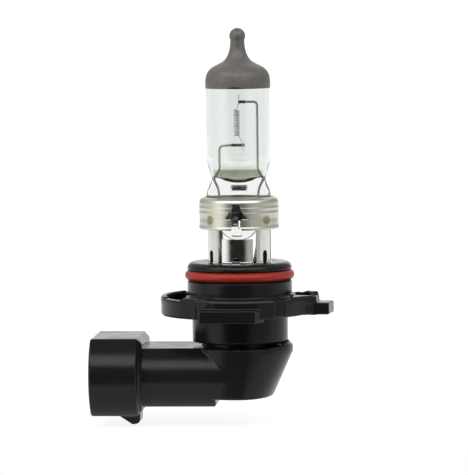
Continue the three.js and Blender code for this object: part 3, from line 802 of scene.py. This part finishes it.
def focus_ring(material):
    """A ring with its top edge rolled in, raised lines, and an arched window with a slot below."""
    centre = (RING_RADIUS - ROLL_RADIUS, RING_TOP_Z - ROLL_RADIUS)
    outer = [(RING_RADIUS, RING_BOTTOM_Z), *arc(centre, ROLL_RADIUS, 0, 96, 12)]
    inner = [*arc(centre, ROLL_RADIUS - RING_WALL, 90, 0, 8), (RING_RADIUS - RING_WALL, RING_BOTTOM_Z)]
    skin = revolved([tuple(p) for p in outer + inner], 0.03)
    window = outline(mirrored(WINDOW))
    slot = outline(mirrored([(WINDOW_SLOT, 13), (WINDOW_SLOT, 17)]))
    keyhole = union(0.1, crosswise(window, -10, -5, 0), crosswise(slot, -10, -5, 0))

    def lined(x, y, z):
        raised = sum(height * np.exp(-(((z - level) / width) ** 2)) for level, width, height in RING_LINES)
        return skin(x, y, z) - raised

    shape = cut(0.08, lined, keyhole)
    reach = RING_RADIUS + 0.3
    low, high = (-reach, -reach, RING_BOTTOM_Z - 0.3), (reach, reach, RING_TOP_Z + 0.3)
    add_solid("focus_ring", "skin", shape, low, high, 0.13, material)


CLIP_TOP_Z = 20.0
CLIP_RADIUS = 7.1
CLIP_SKIRT_Z = 15.9
FINGER_BEND_Z = 17.0
FINGER_END_Z = 15.4
FINGER_HALF_WIDTH = 0.9


def clip_cap():
    """The clip's round cap, open above the pinch and cut away in front of it and behind it."""
    ceiling, inner = CLIP_TOP_Z - SHEET, CLIP_RADIUS - SHEET
    section = [(0, ceiling), (inner, ceiling), (inner, CLIP_SKIRT_Z)]
    section += [(CLIP_RADIUS, CLIP_SKIRT_Z), (CLIP_RADIUS, CLIP_TOP_Z), (0, CLIP_TOP_Z)]
    opening = block((-6.62, -2.0, 18), (6.62, 2.0, 21), 0.1)
    relief = block((-1.6, -3.3, 18), (1.6, 3.3, 21), 0.1)
    window = crosswise(outline(mirrored([(2.6, 15.0), (2.6, 17.0), (1.3, 18.9)])), -9, 9, 0)
    return cut(0.06, revolved(section), opening, relief, window)


def clip_tab():
    """A tab and a lip that show in the ring's window, and their brace to the front finger."""
    head = disc(0.65, (-0.41, 16.6))
    sheet = lambda y, z: np.abs(y + 5.95 - 0.12 * (z - 16)) - 0.18
    tab = lambda x, y, z: np.maximum(np.maximum(head(x, z), 16.05 - z), sheet(y, z))
    post = block((-1.06, -5.9, 14.9), (0.24, -5.45, 16.6), 0.05)
    lip = lengthwise(outline([(-6.75, 14.3), (-6.0, 15.95), (-5.7, 15.95), (-6.45, 14.3)]), 0.3, 0.75, 0.04)
    brace = block((-0.8, -6.3, 14.75), (0.7, -2.4, 15.1), 0.05)
    riser = block((-0.8, -2.85, 14.75), (0.7, -2.4, 15.8), 0.05)
    return [tab, post, lip, brace, riser]


def clip_finger(side):
    """A strip that comes down from the cap, leans in to press on the pinch, and turns out at its end."""
    root_z = CLIP_TOP_Z - 0.1
    near = [(3.6, root_z), (2.0, FINGER_BEND_Z), (2.5, FINGER_END_Z)]
    far = [(2.85, FINGER_END_Z), (2.36, FINGER_BEND_Z), (3.95, root_z)]
    section = outline([(side * y, z) for y, z in near + far])
    return lengthwise(section, -FINGER_HALF_WIDTH, FINGER_HALF_WIDTH, 0.04)


def pinch_clip(material):
    shape = union(0.05, clip_cap(), clip_finger(1), clip_finger(-1), *clip_tab())
    low, high = (-7.4, -7.4, 14.0), (7.4, 7.4, 20.3)
    add_solid("pinch_clip", "sheet", shape, low, high, 0.13, material)


LEG_SPREAD = 57.5
LEG_ANGLES = (FRONT - LEG_SPREAD, FRONT + LEG_SPREAD, -FRONT - LEG_SPREAD, -FRONT + LEG_SPREAD)
LEG_HALF_ANGLE = 21
LEG_TOP_Z = 14.2
SLOT_HALF_WIDTH = 0.66
SLOT_SPRING_Z = 9.0
TONGUE_HALF_ANGLE = 29.5
TONGUE_TOP_Z = 12.1
BAND_RADIUS = 7.55
BAND_BOTTOM_Z = 17.6
BAND_TOP_Z = 19.0
FLARE_TOP_Z = 15.8
PLATE_Z = BARREL_TOP_Z - 0.4
FOOT_Z = PLATE_Z + SHEET


def arched(half_width, spring_z):
    """A doorway through the cage's front wall: straight sides up to spring_z and a round top."""
    doorway = outline(mirrored([(half_width, FOOT_Z), (half_width, spring_z)]))
    top = disc(half_width, (0, spring_z))
    return lambda x, y, z: np.maximum(np.minimum(doorway(x, z), top(x, z)), np.maximum(y + 4, FOOT_Z - z))


def leg_cage(material):
    """Base plate, four slotted legs, a short tongue at the front, and the band that they carry."""
    inner = LEG_RADIUS - SHEET
    hole = COLLAR_RADIUS + 0.06
    wall = [
        (hole, PLATE_Z),
        (PLATE_RADIUS, PLATE_Z),
        (PLATE_RADIUS, FOOT_Z),
        (LEG_RADIUS + 0.25, FOOT_Z),
        (LEG_RADIUS, FOOT_Z + 0.25),
        (LEG_RADIUS, LEG_TOP_Z),
        (BAND_RADIUS, FLARE_TOP_Z),
        (BAND_RADIUS, BAND_TOP_Z),
        (BAND_RADIUS - SHEET, BAND_TOP_Z),
        (BAND_RADIUS - SHEET, FLARE_TOP_Z + 0.1),
        (inner, LEG_TOP_Z + 0.2),
        (inner, FOOT_Z),
        (hole, FOOT_Z),
    ]
    gap = lambda start, end, bottom=FOOT_Z: upright(wedge(2, 9.5, start, end), bottom, BAND_BOTTOM_Z, 0.2)
    half = LEG_SPREAD - LEG_HALF_ANGLE
    side_half = 90 - LEG_SPREAD - LEG_HALF_ANGLE
    gaps = [
        gap(-side_half, side_half),
        gap(180 - side_half, 180 + side_half),
        gap(-FRONT - half, -FRONT + half),
        gap(FRONT - half, FRONT + half, TONGUE_TOP_Z),
        gap(FRONT - half, FRONT - TONGUE_HALF_ANGLE),
        gap(FRONT + TONGUE_HALF_ANGLE, FRONT + half),
    ]
    slots = [turned(arched(SLOT_HALF_WIDTH, SLOT_SPRING_Z), angle - FRONT) for angle in LEG_ANGLES]
    foot_arch = turned(arched(0.8, FOOT_Z + 0.3), -2)
    shape = cut(0.06, revolved(wall), *gaps, *slots, foot_arch)
    low, high = (-7.9, -7.9, PLATE_Z - 0.3), (7.9, 7.9, BAND_TOP_Z + 0.3)
    add_solid("leg_cage", "sheet", shape, low, high, 0.13, material)


# ---- the moulded plastic ----

SPIGOT_RADIUS = 7.7
SPIGOT_END_Z = -11.6
LIP_Z = ELBOW_TOP_Z + 0.8
GROOVE_RADIUS = 9.08
GROOVE_BOTTOM_Z = 3.4
GROOVE_TOP_Z = 5.6
FLANGE_RADIUS = 13.8
RIM_RADIUS = LUG_RADIUS - 0.1
TAB_TURN = -7.0
EDGE = 0.3  # how much the flange's edges are rounded
# Start and end angles, after a rim's inner radius and after a pocket's inner radius and floor.
LUGS = [(140, 240), (200, 300), (72, 112), (-13, 45)]
RIMS = [(14.4, 240, 300), (14.5, 98, 112), (14.9, 141, 200), (10.8, -13, 30)]
POCKETS = [(11.0, -2.9, 144, 224), (11.4, -2.4, -14, 41)]


def barrel_wall():
    """The barrel from the spigot in the elbow up to the collar inside the cage."""
    seat = PLATE_RADIUS + 0.06
    seat_z = PLATE_Z - 0.06
    points = [
        (PASSAGE_RADIUS, SPIGOT_END_Z),
        (SPIGOT_RADIUS, SPIGOT_END_Z),
        (SPIGOT_RADIUS, LIP_Z),
        (NECK_RADIUS - 0.2, LIP_Z),
        (NECK_RADIUS, LIP_Z + 0.25),
        (NECK_RADIUS, -FLANGE_THICKNESS),
        (BARREL_RADIUS, -FLANGE_THICKNESS),
        (BARREL_RADIUS, GROOVE_BOTTOM_Z - 0.15),
        (BARREL_RADIUS - 0.15, GROOVE_BOTTOM_Z),
        (GROOVE_RADIUS, GROOVE_BOTTOM_Z),
        (GROOVE_RADIUS, GROOVE_TOP_Z),
        (BARREL_RADIUS, GROOVE_TOP_Z),
        *(tuple(p) for p in arc((BARREL_RADIUS - 1.25, BARREL_TOP_Z - 1.25), 1.25, 0, 90, 8)),
        (seat, BARREL_TOP_Z),
        (seat, seat_z),
        (COLLAR_RADIUS, seat_z),
        (COLLAR_RADIUS, COLLAR_TOP_Z),
        (PASSAGE_RADIUS, COLLAR_TOP_Z),
    ]
    return revolved(points)


def lug_rims():
    """A hump at the front left, thin rims, and a sloping rim at the right."""
    rise = lambda plan, height, edge=EDGE: upright(plan, -1, height, edge)
    slope_plan = wedge(14.9, RIM_RADIUS, -3, 34)
    slope_top = lambda y, z: z - BACK_RIM_HEIGHT + BACK_RIM_FALL * y
    return [
        rise(wedge(12.5, RIM_RADIUS, 226, 250), PAD_HEIGHT, 2 * EDGE),
        *(rise(wedge(inner, RIM_RADIUS, start, end), RIM_HEIGHT) for inner, start, end in RIMS),
        lambda x, y, z: np.maximum(np.maximum(slope_plan(x, y), slope_top(y, z)), -1 - z),
        rise(outline([(11, -8), (13.6, -5.2), (15.5, -3.6), (11, 2)]), RIM_HEIGHT),
    ]


def flange_and_lugs():
    """The flange, its uneven lugs with pockets in them, the index tab and the boss."""
    slab = lambda plan: upright(plan, -FLANGE_THICKNESS, 0, EDGE)
    boss_plan = [(-7.2, -12), (-7.0, -16.8), (4.2, -16.8), (5.8, -14.4), (5.8, -12)]
    pieces = [
        slab(disc(FLANGE_RADIUS)),
        *(slab(wedge(9, LUG_RADIUS, start, end)) for start, end in LUGS),
        slab(outline([(9.8, -9.7), (13.6, -5.2), (15.64, -3.6), (8, 6), (8, -6)])),
        *lug_rims(),
        turned(block((12, -2.0, -3.45), (TAB_REACH, 4.0, -1.0), EDGE), TAB_TURN),
        upright(outline(boss_plan), -4.1, -1.5, 0.2),
    ]
    pocket_radius = LUG_RADIUS - 1.1
    pockets = []
    for inner, floor, start, end in POCKETS:
        pockets.append(upright(wedge(inner, pocket_radius, start, end), floor, 1.4, EDGE))
    return cut(0.2, union(0.5, *pieces), *pockets, upright(disc(9.2), -5, 2, 0))


def mounting_barrel(material):
    """The barrel and its flange, with a peg behind each leg of the cage and a passage for the leads."""
    pegs = [upright(wedge(5.4, 6.1, angle - 8, angle + 8), 6, 9.4, 0.1) for angle in LEG_ANGLES]
    shape = union(0.1, union(0.5, barrel_wall(), flange_and_lugs()), *pegs)
    shape = cut(0.1, shape, upright(disc(PASSAGE_RADIUS), -12, 9, 0))
    low, high = (-16.6, -17.4, -12.1), (19.8, 16.6, 9.9)
    add_solid("mounting_barrel", "moulding", shape, low, high, 0.26, material)


def ring_seal(material):
    cord = lathed(arc((SEAL_RADIUS, SEAL_Z), SEAL_SECTION, 360, 0, 28), 200)
    add_piece("ring_seal", "cord", cord, material)


HEEL_TOP_Z = -11.1
HEEL_LEAN = 0.45  # how far the heel comes in, for each millimetre down
ARM_FLAT, ARM_BULGE = 7.4, 3.2
WELL_RADIUS = 7.0
WELL_FLOOR_Z = -18.4
SOCKET_END_X = -21.6
SLOT_CLEARANCE = 0.1
SLOT_LEFT_X = -2.3  # the clearance beyond the sides of a terminal's post
SLOT_RIGHT_X = 0.7
TERMINAL_TIP_X = -28.2
TERMINAL_TOP_Z = -4.0
POST_LEFT_X = POST_X - BLADE_WIDTH / 2
POST_RIGHT_X = POST_X + BLADE_WIDTH / 2
BLADE_BOTTOM_Z = BLADE_Z - BLADE_WIDTH / 2
BLADE_TOP_Z = BLADE_Z + BLADE_WIDTH / 2


def bulged(half_flat, bulge, bottom, top):
    """A section in y and z with a flat top and bottom and bulging sides."""
    half = (top - bottom) / 2
    middle = (top + bottom) / 2
    radius = (half * half + bulge * bulge) / (2 * bulge)
    centre = half_flat + bulge - radius

    def distance(y, z):
        side = np.hypot(np.abs(y) - centre, z - middle) - radius
        return np.maximum(np.where(np.abs(y) > centre, side, -radius), np.abs(z - middle) - half)

    return distance


def elbow_post(x, y, z):
    """The elbow's round body. Below HEEL_TOP_Z its right-hand side leans in, and is an ellipse in plan."""
    width = ELBOW_RADIUS - HEEL_LEAN * np.maximum(HEEL_TOP_Z - z, 0)
    side = np.hypot(np.where(x > 0, x * ELBOW_RADIUS / width, x), y) - ELBOW_RADIUS
    solid = between(ELBOW_BOTTOM_Z, ELBOW_TOP_Z - 0.15, 0.4)
    return solid(side, z)


def elbow_flare():
    """The lip round the elbow's top, cut away inside so that a gap shows under the barrel."""
    inner, outer = 9.82, ELBOW_RADIUS
    lip = revolved([(inner, ELBOW_TOP_Z + 1.0), (outer, ELBOW_TOP_Z), (outer, -10.6), (inner, -10.6)])
    return cut(0.1, lip, upright(disc(10.4, (-0.8, -1.0)), ELBOW_TOP_Z - 0.15, -8, 0))


def elbow_arm():
    """The arm to the socket, and a cheek of the same section that blends it into the elbow."""
    section = bulged(ARM_FLAT, ARM_BULGE, ARM_BOTTOM_Z, ELBOW_TOP_Z)
    below_elbow = block((-9, -14, -24), (2, 14, ELBOW_BOTTOM_Z), 0)
    return [
        lengthwise(section, SHROUD_REAR_X - 2, -4.5, 0.5),
        cut(0.1, lengthwise(section, -6, 0, 0.5), below_elbow),
    ]


def shroud_and_ramp():
    """The socket's outside, its step down to the arm, and the ramp that the plug latches over."""
    shroud = lengthwise(bulged(8.5, 4.2, SHROUD_BOTTOM_Z, SHROUD_TOP_Z), SHROUD_END_X, SHROUD_REAR_X, 0.5)
    step_section = bulged(8.0, 3.8, SHROUD_BOTTOM_Z + 0.8, SHROUD_TOP_Z - 0.7)
    step = lengthwise(step_section, SHROUD_REAR_X - 1, -19.4, 0.7)
    front = [(-26.0, -23.0), (-26.0, -23.4), (-22.0, -26.0)]
    rear = [(-20.9, -25.75), (-20.5, -25.3), (-20.4, -23.0)]
    return [union(0.8, shroud, step), crosswise(outline(front + rear), -3, 3, 0.15)]


def blade_slot(y):
    """Room in the elbow for a terminal."""
    low, high = BLADE_BOTTOM_Z - SLOT_CLEARANCE, BLADE_TOP_Z + SLOT_CLEARANCE
    left, right = SLOT_LEFT_X, SLOT_RIGHT_X
    plan = [(-30, low), (right, low), (right, -9), (left, -9), (left, high), (-30, high)]
    reach = BLADE_THICKNESS / 2 + SLOT_CLEARANCE
    return crosswise(outline(plan), y - reach, y + reach, 0)


def elbow_housing(material):
    body = union(0.15, elbow_post, elbow_flare(), *elbow_arm(), *shroud_and_ramp())
    socket_section = bulged(7.9, 3.5, SHROUD_BOTTOM_Z + 1.3, SHROUD_TOP_Z - 1.3)
    hollows = [
        lengthwise(socket_section, SHROUD_END_X - 3, SOCKET_END_X, 0.3),
        upright(disc(SPIGOT_RADIUS + 0.1), SPIGOT_END_Z - 0.2, -8, 0.1),
        upright(disc(WELL_RADIUS), WELL_FLOOR_Z, -8, 0.2),
    ]
    keys_end_x = SOCKET_END_X + 0.2
    keys = [
        block((-29, -1, -10.3), (keys_end_x, 1, -8.8), 0.2),
        block((-29, 2.6, -22.6), (keys_end_x, 3.6, -21.4), 0.2),
    ]
    shape = union(0.2, cut(0.25, body, *hollows), *keys)
    shape = cut(0.1, shape, blade_slot(-BLADE_Y), blade_slot(BLADE_Y))
    low, high = (-30.6, -13.4, -26.6), (11.4, 13.4, -7.3)
    add_solid("elbow_housing", "moulding", shape, low, high, 0.27, material)


def terminal(node, side, material):
    """A flat blade with a chamfered tip and a post that rises from its far end."""
    tip, low, high = TERMINAL_TIP_X, BLADE_BOTTOM_Z, BLADE_TOP_Z
    plan = [(tip, low + 0.8), (tip + 1.2, low), (POST_RIGHT_X, low), (POST_RIGHT_X, TERMINAL_TOP_Z)]
    plan += [(POST_LEFT_X, TERMINAL_TOP_Z), (POST_LEFT_X, high), (tip + 1.2, high), (tip, high - 0.8)]
    y = side * BLADE_Y
    shape = crosswise(outline(plan), y - BLADE_THICKNESS / 2, y + BLADE_THICKNESS / 2, 0.12)
    low, high = (-28.6, y - 0.8, -17.5), (1.0, y + 0.8, -3.6)
    add_solid(node, "blade", shape, low, high, 0.16, material)


def well_disc(node, radius, bottom, top, material):
    """A disc round the two terminals, in the elbow's well."""
    sides = (-BLADE_Y, BLADE_Y)
    slots = [block((SLOT_LEFT_X, y - 0.48, -20), (SLOT_RIGHT_X, y + 0.48, -10), 0) for y in sides]
    shape = cut(0.1, upright(disc(radius), bottom, top, 0.25), *slots)
    reach = radius + 0.5
    low, high = (-reach, -reach, bottom - 0.5), (reach, reach, top + 0.5)
    add_solid(node, "disc", shape, low, high, 0.25, material)


# ---- the studio ----

CAMERA_AZIMUTH = 4.4
CAMERA_ELEVATION = 4.1
CAMERA_ROLL = 0.6
CAMERA_DISTANCE = 775.0
FOCAL_LENGTH = 288.0
AIM_SIDE = -1.08  # to the right of the bulb's axis, as the camera sees it
AIM_Z = 12.04
FLOOR_Z = -26.05
TABLE_FRONT = 40.0
TABLE_BACK = 1800.0
TABLE_SIDE = 700.0
CURVE_RADIUS = 500.0

# The light tent's brightness, as (place, value) steps. Heading 0.5 is the front and height 0.5 is level.
LEFT_WALL_STEPS = [(0.0, 0.42), (0.16, 0.56), (0.28, 0.75), (0.31, 1.35), (0.37, 1.35), (0.42, 0.02)]
RIGHT_WALL_STEPS = [(0.56, 0.02), (0.6, 0.55), (0.72, 0.55), (0.84, 0.44), (1.0, 0.42)]
GAP_STEPS = [(0.3, 0.2), (0.4, 0.02), (0.66, 0.02), (0.7, 1.0)]
ROOF_STEPS = [(0.0, 1.0), (0.72, 1.0), (0.8, 0.3), (1.0, 0.3)]
STRIP_LEVEL_STEPS = [(0.64, 0.0), (0.67, 1.0), (0.79, 1.0), (0.82, 0.0)]
STRIP_HEADING_STEPS = [(0.28, 0.0), (0.34, 1.0), (0.66, 1.0), (0.72, 0.0)]
STRIP_BRIGHTNESS = 3.2
CLEAR_LEVEL = 1.0  # what is seen through the glass is at least this bright
FLOOR_GLOW = 0.89


def add_camera():
    azimuth, elevation = math.radians(CAMERA_AZIMUTH), math.radians(CAMERA_ELEVATION)
    right = Vector((math.cos(azimuth), math.sin(azimuth), 0))
    level = math.cos(elevation)
    back = Vector((math.sin(azimuth) * level, -math.cos(azimuth) * level, math.sin(elevation)))
    aim = right * AIM_SIDE + Vector((0, 0, AIM_Z))
    camera = bpy.data.objects.new("camera", bpy.data.cameras.new("camera"))
    bpy.context.scene.collection.objects.link(camera)
    turn = Matrix((right, back.cross(right), back)).transposed()
    roll = Matrix.Rotation(math.radians(-CAMERA_ROLL), 3, "Z")
    camera.matrix_world = Matrix.Translation((aim + back * CAMERA_DISTANCE) * MM) @ (turn @ roll).to_4x4()
    camera.data.lens = FOCAL_LENGTH
    camera.data.clip_start = 0.05
    camera.data.clip_end = 20
    bpy.context.scene.camera = camera


def add_steps(tree, factor, steps):
    """A brightness that goes through (place, value) steps as the factor goes from 0 to 1."""
    return add_ramp(tree, factor, [(place, (value, value, value)) for place, value in steps])


def light_tent():
    """A white tent round the object, dark where the camera looks in, with a strong soft strip above that."""
    world = bpy.data.worlds.new("light_tent")
    world.use_nodes = True
    tree = world.node_tree
    place = tree.nodes.new("ShaderNodeTexCoord")
    split = tree.nodes.new("ShaderNodeSeparateXYZ")
    tree.links.new(place.outputs["Generated"], split.inputs["Vector"])
    x, y, z = split.outputs
    # 0.5 is the front, 0.25 the left and 0.75 the right
    heading = add_math(tree, "ARCTAN2", x, add_math(tree, "MULTIPLY", y, -1.0))
    heading = add_math(tree, "ADD", add_math(tree, "DIVIDE", heading, 2 * math.pi), 0.5)
    # 0 is straight down, 0.5 level and 1 straight up
    height = add_math(tree, "ADD", add_math(tree, "DIVIDE", add_math(tree, "ARCSINE", z), math.pi), 0.5)
    walls = add_steps(tree, heading, LEFT_WALL_STEPS + RIGHT_WALL_STEPS)
    gap = add_steps(tree, height, GAP_STEPS)
    roof = add_steps(tree, height, ROOF_STEPS)
    strip_level = add_steps(tree, height, STRIP_LEVEL_STEPS)
    strip_heading = add_steps(tree, heading, STRIP_HEADING_STEPS)
    lit = add_math(tree, "MULTIPLY", add_math(tree, "MAXIMUM", walls, gap), roof)
    strip = add_math(tree, "MULTIPLY", strip_level, strip_heading)
    lit = add_math(tree, "ADD", lit, add_math(tree, "MULTIPLY", strip, STRIP_BRIGHTNESS))
    path = tree.nodes.new("ShaderNodeLightPath")
    # Glass shows the tent's dark front only in reflections.
    unreflected = add_math(tree, "LESS_THAN", path.outputs["Glossy Depth"], 0.5)
    straight = add_math(tree, "MAXIMUM", unreflected, add_math(tree, "GREATER_THAN", y, 0.0))
    through = add_math(tree, "MULTIPLY", path.outputs["Is Transmission Ray"], straight)
    lit = add_math(tree, "MAXIMUM", lit, add_math(tree, "MULTIPLY", through, CLEAR_LEVEL))
    seen = add_math(tree, "MAXIMUM", lit, path.outputs["Is Camera Ray"])
    background = tree.nodes["Background"]
    tree.links.new(seen, background.inputs["Color"])
    background.inputs["Strength"].default_value = 1.0
    bpy.context.scene.world = world


def add_floor():
    """A pale sheet that curves up behind the object. In front it ends at the table's edge."""
    profile = [(-TABLE_FRONT, 0.0), (TABLE_BACK - CURVE_RADIUS, 0.0)]
    for a in np.linspace(0.1, math.pi / 2, 14):
        profile.append((TABLE_BACK - CURVE_RADIUS * (1 - math.sin(a)), CURVE_RADIUS * (1 - math.cos(a))))
    profile.append((TABLE_BACK, TABLE_BACK))
    points = [(x, y, z + FLOOR_Z) for y, z in profile for x in (-TABLE_SIDE, TABLE_SIDE)]
    faces = [(2 * i, 2 * i + 1, 2 * i + 3, 2 * i + 2) for i in range(len(profile) - 1)]
    material, _, shader = new_material("floor_paper", (0.16, 0.16, 0.16), 0.9)
    shader.inputs["Specular IOR Level"].default_value = 0.1
    shader.inputs["Emission Color"].default_value = (1, 1, 1, 1)
    shader.inputs["Emission Strength"].default_value = FLOOR_GLOW
    floor = add_mesh("floor", points, faces, material)


# ---- the object ----

molybdenum = make_wire("molybdenum", (0.5, 0.52, 0.48), 0.5)
clamp_metal = make_wire("clamp_metal", (0.17, 0.175, 0.16), 0.5)
tungsten = make_wire("tungsten", (0.8, 0.8, 0.79), 0.45)
steel = make_satin_steel()
nickel = make_bright_nickel()
plastic = make_moulded_plastic()
brass = make_brass()

glass_envelope(make_quartz())
antiglare_cap(make_antiglare_paint())
filament(tungsten)
support_wire("long_support_wire", SUPPORT_X, UPPER_ARM_Z, 0.05, 0.0, molybdenum)
support_wire("short_support_wire", -SUPPORT_X, LOWER_ARM_Z, 1.27, 0.12, molybdenum)
clamp("upper_filament_clamp", 0.02, 1.6, UPPER_ARM_Z, clamp_metal)
clamp("lower_filament_clamp", -1.6, 1.3, LOWER_ARM_Z, clamp_metal)
seal_foil("long_seal_foil", SUPPORT_X, molybdenum)
seal_foil("short_seal_foil", -SUPPORT_X, molybdenum)
lead_wire("long_lead_wire", SUPPORT_X, 1, molybdenum)
lead_wire("short_lead_wire", -SUPPORT_X, -1, molybdenum)
pinch_clip(make_dark_nickel())
focus_ring(steel)
leg_cage(nickel)
mounting_barrel(plastic)
ring_seal(make_seal_rubber())
elbow_housing(plastic)
terminal("long_lead_terminal", 1, brass)
terminal("short_lead_terminal", -1, brass)
well_disc("terminal_spacer", 6.8, -13.4, -12.1, plastic)
well_disc("potting_seal", 6.9, -18.3, -13.5, make_resin())

add_floor()
light_tent()
add_camera()
bpy.context.scene.view_settings.view_transform = "Standard"
